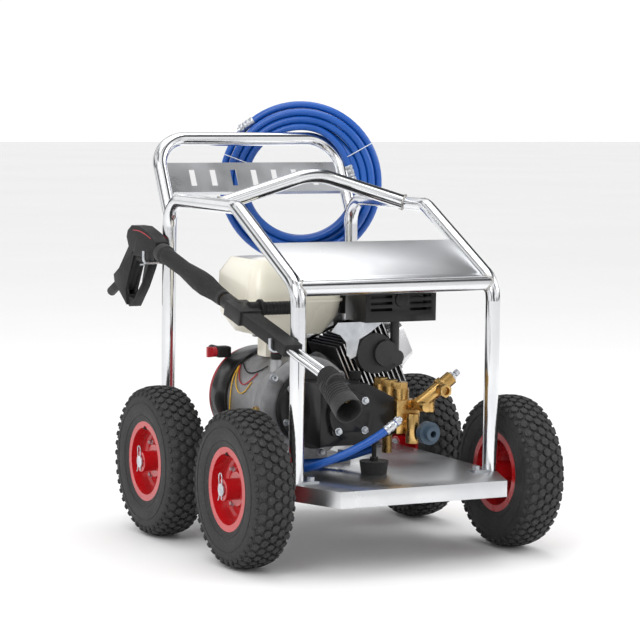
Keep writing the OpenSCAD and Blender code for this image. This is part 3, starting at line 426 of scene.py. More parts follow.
def coil_point(degrees, radius, side):
    a = math.radians(degrees)
    return (
        COIL_CENTRE
        + COIL_ACROSS * (radius * math.cos(a))
        + COIL_UP * (radius * math.sin(a))
        + COIL_SIDE * side
    )


def eased(t):
    t = min(max(t, 0.0), 1.0)
    return t * t * (3 - 2 * t)


def coil_line():
    """Points of the wound hose.

    A row of turns crosses over in short arcs, and each row starts a little earlier
    than the one inside it.
    """
    moves, angle, column, row, way = [], START_ANGLE, 0, 0, 1
    while row < 4:
        for _ in range(2):
            angle += 360.0
            moves.append((angle, row, column, row, column + way))
            column += way
        angle += 360.0 - SHIFT_ARC
        moves.append((angle, row, column, row + 1, column))
        row += 1
        way = -way
        angle -= SHIFT_ARC
    points, length, a, i = [], 0.0, START_ANGLE, 0
    state = (0, 0)
    while length < COIL_LENGTH:
        while i < len(moves) and a >= moves[i][0] + SHIFT_ARC:
            state = moves[i][3:]
            i += 1
        r, c = state
        if i < len(moves) and a > moves[i][0]:
            t = eased((a - moves[i][0]) / SHIFT_ARC)
            r = moves[i][1] + (moves[i][3] - moves[i][1]) * t
            c = moves[i][2] + (moves[i][4] - moves[i][2]) * t
        tuck = INNER_TUCK * (1 - eased((a - START_ANGLE) / 60.0))
        p = coil_point(a, COIL_FIRST_R + COIL_STEP * r - tuck, COIL_STEP * (c - 1))
        if points:
            length += (p - points[-1]).length
        points.append(p)
        a += 360.0 / POINTS_PER_TURN
    return points


def smooth_curve(name, points, radius, sides=4):
    """A round tube on one open spline through the points."""
    curve = bpy.data.curves.new(name, "CURVE")
    curve.dimensions = "3D"
    curve.bevel_depth = radius
    curve.bevel_resolution = sides
    curve.resolution_u = 2
    curve.use_fill_caps = True
    spline = curve.splines.new("BEZIER")
    spline.bezier_points.add(len(points) - 1)
    for i, point in enumerate(points):
        b = spline.bezier_points[i]
        b.co = point
        before, after = points[max(i - 1, 0)], points[min(i + 1, len(points) - 1)]
        along = (Vector(after) - Vector(before)) / 6
        if i in (0, len(points) - 1):
            along *= 2
        b.handle_left, b.handle_right = Vector(point) - along, Vector(point) + along
        b.handle_left_type = b.handle_right_type = "FREE"
    obj = bpy.data.objects.new(name, curve)
    bpy.context.collection.objects.link(obj)
    return obj


hose_blue = finish_material(
    "hose_blue",
    (0.004, 0.075, 0.36),
    (0.006, 0.095, 0.42),
    (0.28, 0.4),
    scale=9.0,
    dust=0.04,
    grain_scale=500.0,
    grain_height=0.08,
    coat=0.15,
)
coil_points = coil_line()
coil = smooth_curve("hose_coil_wound", coil_points, HOSE_D / 2)
coil.data.materials.append(hose_blue)
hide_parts("hose_coil")
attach(coil, "coil")

# Crimped ferrule with a hexagon nut and a threaded end
FERRULE = [
    (0.0070, -0.004), (0.0100, -0.004), (0.0108, -0.002), (0.0108, 0.002),
    (0.0098, 0.004), (0.0098, 0.007), (0.0108, 0.009), (0.0108, 0.013),
    (0.0098, 0.015), (0.0098, 0.018), (0.0105, 0.020), (0.0090, 0.023),
    (0.0066, 0.024), (0.0066, 0.038), (0.0050, 0.040),
]  # fmt: skip


def ferrule(name, at, direction, body, nut=0.019):
    sleeve = turned(name, FERRULE, 36)
    sleeve.data.transform(along_x(at, direction))
    deselect()
    bpy.ops.mesh.primitive_cylinder_add(vertices=6, radius=nut / 2 / 0.866, depth=0.009)
    hexagon = bpy.context.object
    to_edit(hexagon)
    bpy.ops.mesh.select_all(action="SELECT")
    bpy.ops.mesh.bevel(offset=0.0008, segments=1)
    to_object()
    hexagon.data.transform(
        aimed(Vector(at) + Vector(direction).normalized() * 0.029, direction)
    )
    return finished(joined(name, [sleeve, hexagon]), zinc, body)


inner_end = ferrule(
    "coil_inner_fitting", coil_points[0], coil_points[0] - coil_points[1], "coil"
)
outer_end = ferrule(
    "coil_outer_fitting", coil_points[-1], coil_points[-1] - coil_points[-2], "coil"
)

# Two clear plastic ties round the bundle
tie_plastic = finish_material(
    "tie_plastic",
    (0.72, 0.75, 0.78),
    (0.66, 0.69, 0.73),
    (0.25, 0.4),
    scale=30.0,
    dust=0.0,
    coat=0.2,
)
TIES = {"coil_tie_right": 30.0, "coil_tie_left": 160.0}
for name, degrees in TIES.items():
    loop = []
    for corner, (u, v) in enumerate(((1, 1), (-1, 1), (-1, -1), (1, -1))):
        for step in range(5):
            t = math.radians(corner * 90 + step * 22.5)
            r = 0.1572 + u * 0.0253 + 0.009 * math.cos(t)
            w = v * 0.0172 + 0.009 * math.sin(t)
            loop.append(coil_point(degrees, r, w))
    tie = smooth_curve(name, loop + loop[:1], 0.0011, 2)
    finished(tie, tie_plastic, "coil")

# ---- Bypass hose ----
# A short length of the same hose that takes spare water from the unloader valve,
# round the tray and back under the pump head.
BYPASS_ROUTE = [
    (-0.012, -0.330, 0.304), (-0.040, -0.328, 0.284), (-0.085, -0.318, 0.256),
    (-0.130, -0.297, 0.231), (-0.168, -0.264, 0.209), (-0.192, -0.222, 0.195),
    (-0.200, -0.176, 0.189), (-0.188, -0.134, 0.188), (-0.152, -0.108, 0.188),
    (-0.108, -0.104, 0.188), (-0.066, -0.116, 0.191), (-0.030, -0.136, 0.201),
    (-0.002, -0.160, 0.214), (0.014, -0.174, 0.221),
]  # fmt: skip
bypass = smooth_curve("bypass_hose_bent", [Vector(p) for p in BYPASS_ROUTE], HOSE_D / 2)
bypass.data.materials.append(hose_blue)
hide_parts("bypass_hose")
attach(bypass, "frame")
route_start, route_second = Vector(BYPASS_ROUTE[0]), Vector(BYPASS_ROUTE[1])
bypass_end = ferrule(
    "bypass_fitting",
    route_start + (route_second - route_start).normalized() * 0.034,
    route_start - route_second,
    "frame",
)

# ---- Floor and light ----
# A pale studio floor under three large soft lamps and an even sky.
bpy.ops.mesh.primitive_plane_add(size=60, location=(0, 0, -0.0004))
floor = bpy.context.object
floor.name = "floor"
floor.data.materials.append(
    finish_material(
        "floor_white",
        (0.86, 0.86, 0.86),
        (0.84, 0.84, 0.84),
        (0.75, 0.85),
        scale=0.6,
        dust=0.0,
        grain_height=0.0,
    )
)

LAMPS = [
    ("key", (-3.2, -2.6, 3.6), 2.6, 70),
    ("side", (3.4, -1.2, 2.4), 2.0, 30),
    ("top", (0.2, 0.6, 4.2), 3.0, 50),
]
for name, place, size, power in LAMPS:
    bpy.ops.object.light_add(type="AREA", location=place)
    lamp = bpy.context.object
    lamp.name = name
    lamp.data.size = size
    lamp.data.energy = power
    lamp.rotation_euler = (
        (Vector((0, 0, 0.4)) - Vector(place)).to_track_quat("-Z", "Y").to_euler()
    )
world = bpy.data.worlds.new("studio")
bpy.context.scene.world = world
world.use_nodes = True
# The studio is white to look at and as light, but its dark corners and the gaps
# between its lamps show as streaks in the plated tubes.
sky = world.node_tree.nodes["Background"]
rays = world.node_tree.nodes.new("ShaderNodeLightPath")
around = world.node_tree.nodes.new("ShaderNodeTexCoord")
corners = world.node_tree.nodes.new("ShaderNodeTexNoise")
corners.inputs["Scale"].default_value = 2.3
corners.inputs["Detail"].default_value = 1.0
world.node_tree.links.new(around.outputs["Generated"], corners.inputs["Vector"])
dim = ranged(world.node_tree, corners.outputs["Fac"], 0.44, 0.56, 0.03, 1.1)
studio = mixed(world.node_tree, dim, (0.02, 0.022, 0.026, 1), (1.0, 1.0, 1.0, 1))
world.node_tree.links.new(
    mixed(world.node_tree, rays.outputs["Is Glossy Ray"], (1.0, 1.0, 1.0, 1), studio),
    sky.inputs["Color"],
)
sky.inputs["Strength"].default_value = 1.05
bpy.context.scene.view_settings.view_transform = "Standard"

# ---- Frame tubes and sheet ----
# Bright-plated steel tube and sheet, with the soft marks that polishing leaves.
tube_metal = finish_material(
    "tube_metal",
    (0.82, 0.83, 0.84),
    (0.74, 0.75, 0.77),
    (0.08, 0.18),
    metallic=1.0,
    scale=7.0,
    dust=0.0,
    grain_scale=300.0,
    grain_height=0.05,
)
sheet_metal = finish_material(
    "sheet_metal",
    (0.72, 0.73, 0.74),
    (0.62, 0.63, 0.65),
    (0.24, 0.4),
    metallic=1.0,
    scale=5.0,
    dust=0.0,
    grain_scale=220.0,
    grain_height=0.08,
)
paint(
    tube_metal,
    "left_hoop",
    "right_hoop",
    "front_cross_tube",
    "lifting_arch",
    "push_handle",
)
paint(sheet_metal, "base_tray", "front_panel", "rear_panel")
for name in (
    "left_hoop",
    "right_hoop",
    "front_cross_tube",
    "lifting_arch",
    "push_handle",
):
    rounded(name)

# ---- Plated hardware ----
# Feet, axles, hooks, bolts and wires, all zinc plated.
paint(
    zinc,
    "hoop_feet",
    "axles",
    "lance_hooks",
    "engine_fittings",
    "unloader_knob",
    "safety_latch",
    "heat_deflector",
    "pump_shaft",
)

# ---- Castings ----
# The engine's case in bead-blasted aluminium, its cylinder in black paint with painted
# highlights on the fin edges, and its pressed rocker cover.
cast_metal = finish_material(
    "cast_metal",
    (0.42, 0.42, 0.43),
    (0.33, 0.33, 0.34),
    (0.42, 0.6),
    metallic=0.85,
    scale=24.0,
    dust=0.15,
    grain_scale=1100.0,
    grain_height=0.4,
)
fin_metal = finish_material(
    "fin_metal",
    (0.03, 0.03, 0.032),
    (0.05, 0.05, 0.052),
    (0.4, 0.6),
    metallic=0.2,
    scale=30.0,
    dust=0.1,
    grain_scale=1100.0,
    grain_height=0.3,
)
bright_cover = finish_material(
    "bright_cover",
    (0.7, 0.7, 0.71),
    (0.6, 0.6, 0.61),
    (0.22, 0.36),
    metallic=1.0,
    scale=16.0,
    dust=0.02,
)
black_enamel = finish_material(
    "black_enamel",
    (0.006, 0.006, 0.0065),
    (0.011, 0.011, 0.0115),
    (0.3, 0.45),
    gloss=0.2,
    scale=18.0,
    dust=0.03,
    coat=0.3,
)
cream_enamel = finish_material(
    "cream_enamel",
    (0.88, 0.84, 0.72),
    (0.84, 0.8, 0.67),
    (0.22, 0.32),
    scale=5.0,
    dust=0.03,
    grain_scale=250.0,
    grain_height=0.04,
    coat=0.6,
)
red_enamel = finish_material(
    "red_enamel",
    (0.5, 0.006, 0.01),
    (0.42, 0.005, 0.008),
    (0.22, 0.34),
    scale=9.0,
    dust=0.08,
    grain_scale=300.0,
    grain_height=0.06,
    coat=0.5,
)
red_plastic = finish_material(
    "red_plastic",
    (0.42, 0.01, 0.02),
    (0.36, 0.01, 0.018),
    (0.35, 0.5),
    scale=14.0,
    dust=0.1,
)
black_plastic = finish_material(
    "black_plastic",
    (0.009, 0.009, 0.0095),
    (0.015, 0.015, 0.016),
    (0.42, 0.58),
    gloss=0.25,
    scale=22.0,
    dust=0.18,
    grain_scale=1600.0,
    grain_height=0.35,
)
grip_rubber = finish_material(
    "grip_rubber",
    (0.012, 0.012, 0.0125),
    (0.02, 0.02, 0.021),
    (0.55, 0.72),
    gloss=0.25,
    scale=20.0,
    dust=0.25,
    grain_scale=1300.0,
    grain_height=0.4,
    sheen=0.1,
)
brass = finish_material(
    "brass",
    (0.6, 0.38, 0.14),
    (0.44, 0.27, 0.09),
    (0.2, 0.4),
    metallic=1.0,
    scale=34.0,
    dust=0.02,
    wear=(0.9, 0.7, 0.35),
    grain_scale=900.0,
    grain_height=0.18,
)
ceramic = finish_material(
    "ceramic",
    (0.85, 0.84, 0.8),
    (0.8, 0.79, 0.75),
    (0.1, 0.18),
    scale=12.0,
    dust=0.0,
    coat=0.5,
)
blue_cap = finish_material(
    "blue_cap",
    (0.03, 0.055, 0.085),
    (0.045, 0.075, 0.11),
    (0.4, 0.55),
    scale=30.0,
    dust=0.15,
)
paint(
    cast_metal,
    "crankcase",
    "side_cover",
    "carburettor",
    "piston",
    "crankshaft",
    "flywheel",
    "throttle_lever",
)
paint(fin_metal, "barrel", "cylinder_head")
paint(bright_cover, "rocker_cover")
paint(
    black_enamel,
    "blower_housing",
    "muffler",
    "muffler_guard",
    "gearbox_housing",
    "pump_crankcase",
    "pump_cover",
)
paint(cream_enamel, "fuel_tank")
paint(
    red_enamel, "front_left_rim", "front_right_rim", "rear_left_rim", "rear_right_rim"
)
paint(red_plastic, "recoil_cover", "engine_switch")
paint(
    black_plastic,
    "recoil_handle",
    "fuel_cap",
    "air_cleaner",
    "pump_dipstick",
    "gun_body",
    "trigger",
    "lance_tubes",
    "side_handle",
)
paint(grip_rubber, "lance_grip", "nozzle_shroud", "pump_foot")
paint(brass, "pump_head", "unloader_valve")
paint(ceramic, "plungers")
paint(blue_cap, "inlet_coupling")

# ---- Tyres ----
# Moulded black rubber, with five rows of six-sided blocks round the tread and low
# ribs on the walls. One tyre is modelled round the X axis and copied to each wheel.
TYRE_R, RIM_R = 0.165, 0.088
TREAD_ROWS = 42
WHEELS = {
    "front_left": (-0.320, -0.230),
    "front_right": (0.320, -0.230),
    "rear_left": (-0.320, 0.190),
    "rear_right": (0.320, 0.190),
}
# Half of the carcass in section: radius and distance from the middle plane
CARCASS = [
    (RIM_R - 0.0115, 0.034), (RIM_R + 0.002, 0.0395), (RIM_R + 0.009, 0.0425),
    (RIM_R + 0.020, 0.0450), (RIM_R + 0.034, 0.0458), (RIM_R + 0.048, 0.0445),
    (RIM_R + 0.056, 0.0425), (RIM_R + 0.064, 0.0385), (RIM_R + 0.069, 0.030),
    (RIM_R + 0.071, 0.016),
]  # fmt: skip


def tread_block(name, x, size_x, size_y, low, high, phase, steps, lean=0.0):
    """One row of six-sided blocks: a prism on top of the tyre, copied round by a spin."""
    deselect()
    bpy.ops.mesh.primitive_cylinder_add(
        vertices=6,
        radius=1,
        depth=high - low,
        location=(x, 0, (low + high) / 2),
        end_fill_type="NGON",
    )
    block = bpy.context.object
    block.name = name
    block.scale = (size_x, size_y, 1)
    block.rotation_euler = (0, lean, 0)
    settle(block)
    to_edit(block)
    bpy.ops.mesh.select_all(action="SELECT")
    bpy.ops.mesh.select_mode(type="FACE")
    bpy.ops.mesh.select_all(action="DESELECT")
    to_object()
    top = max(block.data.polygons, key=lambda f: f.center.z + (f.normal.z > 0.5))
    top.select = True
    bpy.ops.object.mode_set(mode="EDIT")
    bpy.ops.mesh.inset(thickness=0.0011, depth=0.0006)
    bpy.ops.mesh.select_all(action="SELECT")
    angle = 2 * math.pi / steps
    bpy.ops.transform.rotate(
        value=-phase * angle, orient_axis="X", center_override=(0, 0, 0)
    )
    bpy.ops.mesh.spin(
        steps=steps, dupli=True, angle=2 * math.pi, center=(0, 0, 0), axis=(1, 0, 0)
    )
    bpy.ops.mesh.select_all(action="SELECT")
    bpy.ops.mesh.remove_doubles(threshold=0.00002)
    to_object()
    return block


tyre_section = (
    [(r, x) for r, x in CARCASS]
    + [(RIM_R + 0.0715, 0.0)]
    + [(r, -x) for r, x in reversed(CARCASS)]
)
inner_section = [(RIM_R - 0.0115, -0.028), (RIM_R - 0.0115, 0.028)]
tyre_parts = [turned("tyre_carcass", tyre_section + inner_section, 96, closed=True)]
tyre_parts += [
    tread_block("tread", 0.0, 0.0088, 0.0094, 0.157, 0.1644, 0.0, TREAD_ROWS),
    tread_block("tread", 0.0155, 0.0082, 0.0094, 0.155, 0.1636, 0.5, TREAD_ROWS, 0.1),
    tread_block("tread", -0.0155, 0.0082, 0.0094, 0.155, 0.1636, 0.5, TREAD_ROWS, -0.1),
    tread_block("tread", 0.0300, 0.0084, 0.0092, 0.148, 0.1600, 0.0, TREAD_ROWS, 0.32),
    tread_block(
        "tread", -0.0300, 0.0084, 0.0092, 0.148, 0.1600, 0.0, TREAD_ROWS, -0.32
    ),
    tread_block("tread", 0.0388, 0.0050, 0.0060, 0.138, 0.1520, 0.5, TREAD_ROWS, 0.75),
    tread_block(
        "tread", -0.0388, 0.0050, 0.0060, 0.138, 0.1520, 0.5, TREAD_ROWS, -0.75
    ),
]
for side in (-1, 1):
    for r in (RIM_R + 0.0125, RIM_R + 0.041):
        bpy.ops.mesh.primitive_torus_add(
            major_radius=r,
            minor_radius=0.0011,
            major_segments=96,
            minor_segments=8,
            location=(side * (0.0433 if r < 0.11 else 0.0455), 0, 0),
            rotation=(0, math.radians(90), 0),
        )
        rib = bpy.context.object
        settle(rib)
        tyre_parts.append(rib)
tyre = joined("tyre", tyre_parts)
smoothed(tyre, 30)
tyre_rubber = finish_material(
    "tyre_rubber",
    (0.014, 0.014, 0.0145),
    (0.024, 0.024, 0.0245),
    (0.6, 0.78),
    scale=26.0,
    dust=0.35,
    grain_scale=1000.0,
    grain_height=0.35,
)
tyre.data.materials.clear()
tyre.data.materials.append(tyre_rubber)


for wheel, (x, y) in WHEELS.items():
    piece = copies(tyre, f"{wheel}_tread_tyre", Matrix.Translation((x, y, TYRE_R)))
    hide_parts(f"{wheel}_tyre")
    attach(piece, f"{wheel}_wheel")
bpy.data.objects.remove(tyre)

# ---- Bolts ----
# Hexagon bolt with a chamfered head and a washer: 10 mm across flats
deselect()
bpy.ops.mesh.primitive_cylinder_add(
    vertices=6,
    radius=0.005 / math.cos(math.radians(30)),
    depth=0.0064,
    location=(0, 0, 0.0052),
)
bolt_head = bpy.context.object
to_edit(bolt_head)
to_object()
for face in bolt_head.data.polygons:
    face.select = face.normal.z > 0.9
bpy.ops.object.mode_set(mode="EDIT")
bpy.ops.mesh.inset(thickness=0.0007, depth=0.0006)
bpy.ops.mesh.inset(thickness=0.0008, depth=-0.0003)
to_object()
bpy.ops.mesh.primitive_cylinder_add(
    vertices=28, radius=0.0082, depth=0.0016, location=(0, 0, 0.0008)
)
washer = bpy.context.object
to_edit(washer)
bpy.ops.mesh.select_all(action="SELECT")
bpy.ops.mesh.bevel(offset=0.0004, segments=1)
to_object()
bolt = joined("bolt", [bolt_head, washer])
settle(bolt)


def bolts(name, body, places, material=None):
    """places are (point, direction, size across flats in metres)."""
    return many(
        name,
        bolt,
        [aimed(p, d, size / 0.010) for p, d, size in places],
        material or zinc,
        body,
    )


# ---- Welds ----
# Rippled beads where the cross tube and the arch meet the hoops.
TUBE_R = 0.0159
HOOP_X = 0.2315
HOOP_TOP_Z = 0.731
KNEE = (-0.2852, 0.579)
KNEE_LEAN = 0.55  # radians from upright, halfway round the knee


def bead(name, points, radius=0.0024, closed=True):
    """A weld bead: a tube along the points whose thickness ripples."""
    curve = bpy.data.curves.new(name, "CURVE")
    curve.dimensions = "3D"
    curve.bevel_depth = radius
    curve.bevel_resolution = 3
    curve.use_fill_caps = True
    spline = curve.splines.new("POLY")
    spline.points.add(len(points) - 1)
    for i, point in enumerate(points):
        spline.points[i].co = (*point, 1)
        spline.points[i].radius = 1.0 if i % 2 else 0.72
    spline.use_cyclic_u = closed
    obj = bpy.data.objects.new(name, curve)
    bpy.context.collection.objects.link(obj)
    return obj


def saddle(name, at, hoop_dir, tube_dir, steps=72):
    """The bead where a tube runs square or slanted into the hoop's tube."""
    hoop_dir, tube_dir = Vector(hoop_dir).normalized(), Vector(tube_dir).normalized()
    across = tube_dir.cross(hoop_dir).normalized()
    up = across.cross(tube_dir).normalized()
    centre = Vector(at)
    points = []
    for i in range(steps):
        a = 2 * math.pi * i / steps
        offset = (up * math.cos(a) + across * math.sin(a)) * TUBE_R
        off_axis = offset - hoop_dir * offset.dot(hoop_dir)
        # How far back along the tube its surface leaves the hoop's surface
        t = tube_dir - hoop_dir * tube_dir.dot(hoop_dir)
        qa, qb = t.dot(t), 2 * off_axis.dot(t)
        qc = off_axis.dot(off_axis) - (TUBE_R + 0.0004) ** 2
        root = (-qb + math.sqrt(max(qb * qb - 4 * qa * qc, 0.0))) / (2 * qa)
        points.append(centre + offset * 1.03 + tube_dir * root)
    return bead(name, points)


weld_metal = finish_material(
    "weld_metal",
    (0.55, 0.54, 0.52),
    (0.42, 0.4, 0.38),
    (0.3, 0.5),
    metallic=1.0,
    scale=60.0,
    dust=0.0,
    grain_scale=900.0,
    grain_height=0.3,
)
HANDLE_LEAN = math.radians(27.5)
HANDLE_U = Vector((0, math.sin(HANDLE_LEAN), math.cos(HANDLE_LEAN)))
for side, word in ((-1, "left"), (1, "right")):
    knee_dir = (0, math.sin(KNEE_LEAN), math.cos(KNEE_LEAN))
    finished(
        saddle(f"weld_cross_{word}", (side * HOOP_X, *KNEE), knee_dir, (-side, 0, 0)),
        weld_metal, "frame",
    )  # fmt: skip
    finished(
        saddle(
            f"weld_arch_{word}", (side * HOOP_X, 0.092, HOOP_TOP_Z),
            (0, 1, 0), (-side * 0.96, 0, 0.282),
        ),
        weld_metal, "frame",
    )  # fmt: skip

# ---- Wheel hardware ----
# Each wheel has a rubber valve with a cap, four bolts that hold the rim's halves,
# and a hairpin through the end of the axle.
for wheel, (x, y) in WHEELS.items():
    out = -1 if x < 0 else 1
    centre = Vector((x, y, TYRE_R))
    places = []
    for i in range(4):
        a = math.radians(45 + 90 * i)
        spot = centre + Vector(
            (out * 0.0062, 0.0508 * math.cos(a), 0.0508 * math.sin(a))
        )
        places.append((spot, (out, 0, 0), 0.008))
    bolts(f"{wheel}_rim_bolts", f"{wheel}_wheel", places)
    base = centre + Vector((out * 0.008, 0.0, 0.066))
    valve = turned(
        "valve",
        [(0.0052, 0), (0.0052, 0.004), (0.0032, 0.008), (0.0030, 0.024),
         (0.0036, 0.0242), (0.0036, 0.033), (0.0024, 0.0345)],
        20,
    )  # fmt: skip
    valve.name = f"{wheel}_valve"
    valve.data.transform(along_x(base, (out, 0, 0.25)))
    finished(valve, black_plastic, f"{wheel}_wheel")

# Hairpins: a wire leg through the axle and a bowed leg outside it
for wheel, (x, y) in WHEELS.items():
    out = -1 if x < 0 else 1
    pin_x = x + out * 0.0500
    pin = [
        (0, -0.021), (0, -0.012), (0, 0.0), (0, 0.012), (0, 0.024), (0.0025, 0.031),
        (0.008, 0.0335), (0.0135, 0.030), (0.015, 0.023), (0.0135, 0.016),
        (0.0125, 0.009), (0.0135, 0.002), (0.0138, -0.006), (0.0128, -0.013),
        (0.0145, -0.020), (0.018, -0.024),
    ]  # fmt: skip
    points = [
        Vector((pin_x - out * 0.001, y + dy, TYRE_R + dz)) for dy, dz in pin
    ]
    finished(
        smooth_curve(f"{wheel}_hairpin", points, 0.0014, 3), zinc, "frame"
    )

# ---- Lance ----
# A moulded grip with fine ribs and a swelling towards its front, and at the far end
# a rubber bellows and a ribbed shroud round two nozzles.
LANCE_ANGLE = math.radians(13.3)
LANCE_START = Vector((-0.268, 0, 0.5416))
LANCE_DIR = Vector((0, -math.cos(LANCE_ANGLE), -math.sin(LANCE_ANGLE)))
LANCE_UP = Vector((0, -math.sin(LANCE_ANGLE), math.cos(LANCE_ANGLE)))


def on_lance(s):
    return LANCE_START + LANCE_DIR * s


GRIP_SHAPE = [
    (0.0, 0.0150), (0.001, 0.0212), (0.006, 0.0220), (0.024, 0.0220), (0.028, 0.0185),
    (0.125, 0.0178), (0.170, 0.0212), (0.206, 0.0236), (0.240, 0.0238),
    (0.262, 0.0214), (0.290, 0.0188), (0.330, 0.0178), (0.339, 0.0172),
    (0.340, 0.0130),
]  # fmt: skip


def grip_radius(z):
    for (z0, r0), (z1, r1) in zip(GRIP_SHAPE, GRIP_SHAPE[1:], strict=False):
        if z <= z1:
            return r0 + (r1 - r0) * (z - z0) / (z1 - z0)
    return GRIP_SHAPE[-1][1]


grip_rings = [(0.0085, 0.0), (0.0150, 0.0), (0.0212, 0.001), (0.0220, 0.006)]
z = 0.010
while z < 0.332:
    ribbed = 0.030 < z < 0.326
    r = grip_radius(z)
    if ribbed:
        grip_rings += [
            (r - 0.0011, z), (r - 0.0011, z + 0.0012), (r, z + 0.0018),
            (r + 0.0002, z + 0.0032), (r, z + 0.0046), (r - 0.0011, z + 0.0050),
        ]  # fmt: skip
    else:
        grip_rings += [(r, z), (grip_radius(z + 0.003), z + 0.003)]
    z += 0.0054
grip_rings += [(0.0170, 0.3385), (0.0130, 0.340), (0.0085, 0.340)]
grip = turned("lance_grip_ribbed", grip_rings, 48)
grip.data.transform(along_x(on_lance(-0.318), LANCE_DIR))
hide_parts("lance_grip")
finished(grip, grip_rubber, "lance", 40)

SHROUD_ANGLE = math.radians(28.5)
SHROUD_DIR = Vector((0, -math.cos(SHROUD_ANGLE), -math.sin(SHROUD_ANGLE)))
SHROUD_MOUTH = Vector((-0.268, -0.603 + 0.0285 * math.sin(SHROUD_ANGLE), 0.367))
SHROUD_LENGTH = 0.094
shroud_rings = [(0.0120, 0.0), (0.0215, 0.0), (0.0235, 0.002)]
z = 0.006
while z < 0.060:
    r = 0.0240 + 0.0035 * z / SHROUD_LENGTH
    shroud_rings += [
        (r - 0.0012, z), (r - 0.0012, z + 0.0016), (r + 0.0002, z + 0.0022),
        (r + 0.0002, z + 0.0052), (r - 0.0012, z + 0.0058),
    ]  # fmt: skip
    z += 0.0072
shroud_rings += [
    (0.0272, 0.064), (0.0276, 0.067), (0.0280, 0.090), (0.0285, 0.0925),
    (0.0283, 0.094), (0.0262, 0.094), (0.0250, 0.092), (0.0238, 0.070),
    (0.0225, 0.030), (0.0120, 0.027),
]  # fmt: skip
shroud = turned("shroud", shroud_rings, 56)
shroud.data.transform(along_x(SHROUD_MOUTH - SHROUD_DIR * SHROUD_LENGTH, SHROUD_DIR))
bellows_rings = [(0.0150, 0.0), (0.0185, 0.0)]
for i in range(6):
    z = 0.002 + i * 0.0062
    bellows_rings += [(0.0185, z), (0.0222, z + 0.0028), (0.0222, z + 0.0036), (0.0186, z + 0.0060)]
bellows_rings += [(0.0210, 0.040), (0.0210, 0.046), (0.0150, 0.047)]
bellows = turned("bellows", bellows_rings, 48)
bellows.data.transform(along_x(on_lance(0.504), (LANCE_DIR + SHROUD_DIR * 0.25).normalized()))
shroud = joined("nozzle_shroud_ribbed", [shroud, bellows])
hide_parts("nozzle_shroud")
finished(shroud, grip_rubber, "lance", 40)

nozzle_shape = [
    (0.0064, 0.0), (0.0064, 0.018), (0.0052, 0.020), (0.0052, 0.024), (0.0070, 0.026),
    (0.0070, 0.040), (0.0058, 0.043), (0.0030, 0.043), (0.0024, 0.036),
]  # fmt: skip
for side, material, slot in ((-1, ceramic, "ceramic"), (1, brass, "brass")):
    nozzle = turned(f"nozzle_{'inner' if side > 0 else 'outer'}", nozzle_shape, 28)
    start = SHROUD_MOUTH - SHROUD_DIR * 0.074 + Vector((side * 0.0105, 0, 0.002))
    nozzle.data.transform(along_x(start, SHROUD_DIR))
    finished(nozzle, material, "lance")


# ---- Softened sheet and castings ----
# Folded sheet, castings and mouldings have no knife edges, so each of these gets a
# copy of its CAD form with every sharp edge rounded over by about a millimetre.
def softened(node, material, body, width=0.0012, segments=2):
    """A copy of a CAD node with its sharp edges rounded over, shown in its place."""
    deselect()
    obj = bpy.data.objects.new(f"{node}_soft", nodes[node].data.copy())
    bpy.context.collection.objects.link(obj)
    to_edit(obj)
    bpy.ops.mesh.select_all(action="SELECT")
    bpy.ops.mesh.remove_doubles(threshold=0.00002)
    bpy.ops.mesh.dissolve_limited(angle_limit=math.radians(2))
    to_object()
    soft = obj.modifiers.new("soft", "BEVEL")
    soft.width = width
    soft.segments = segments
    soft.limit_method = "ANGLE"
    soft.angle_limit = math.radians(42)
    soft.harden_normals = False
    deselect()
    obj.select_set(True)
    bpy.context.view_layer.objects.active = obj
    bpy.ops.object.modifier_apply(modifier="soft")
    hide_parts(node)
    return finished(obj, material, body, 50)


for node, material, slot, width in (
    ("base_tray", sheet_metal, "zinc", 0.0009),
    ("front_panel", sheet_metal, "zinc", 0.0006),
    ("muffler_guard", black_enamel, "black_paint", 0.0008),
    ("muffler", black_enamel, "black_paint", 0.0020),
    ("gearbox_housing", black_enamel, "black_paint", 0.0016),
    ("pump_crankcase", black_enamel, "black_paint", 0.0022),
    ("pump_cover", black_enamel, "black_paint", 0.0016),
    ("pump_head", brass, "brass", 0.0012),
    ("unloader_valve", brass, "brass", 0.0008),
    ("crankcase", cast_metal, "casting", 0.0018),
    ("side_cover", cast_metal, "casting", 0.0018),
    ("rocker_cover", bright_cover, "bright_cast", 0.0050),
    ("air_cleaner", black_plastic, "black_plastic", 0.0020),
    ("blower_housing", black_enamel, "black_paint", 0.0020),
):
    softened(node, material, "frame", width)
softened("fuel_tank", cream_enamel, "frame", 0.0035, 4)
for node, width in (("gun_body", 0.0018), ("lance_tubes", 0.0010)):
    softened(node, black_plastic, "lance", width)

softened("trigger", black_plastic, "gun_trigger", 0.0008)

# ---- Engine details ----
# Small parts that bolt on to the case: the oil sight glass in its brass ring, the
# filler plug with a red top, the switch box, the plug with its lead, and the wires.
CRANK = Vector((-0.120, -0.020, 0.310))
CASE_R = 0.104
COVER_FRONT_Y, GEAR_FRONT_Y, PUMP_COVER_FRONT_Y = -0.120, -0.144, -0.2795
PUMP_X = -0.096
ENGINE_FOOT_TOP_Z = 0.194


def round_face(centre_x, y, radius, angles, size):
    """Bolt places on a circle on a face that looks forwards."""
    return [
        (
            (
                centre_x + radius * math.cos(math.radians(a)),
                y,
                CRANK.z + radius * math.sin(math.radians(a)),
            ),
            (0, -1, 0),
            size,
        )
        for a in angles
    ]


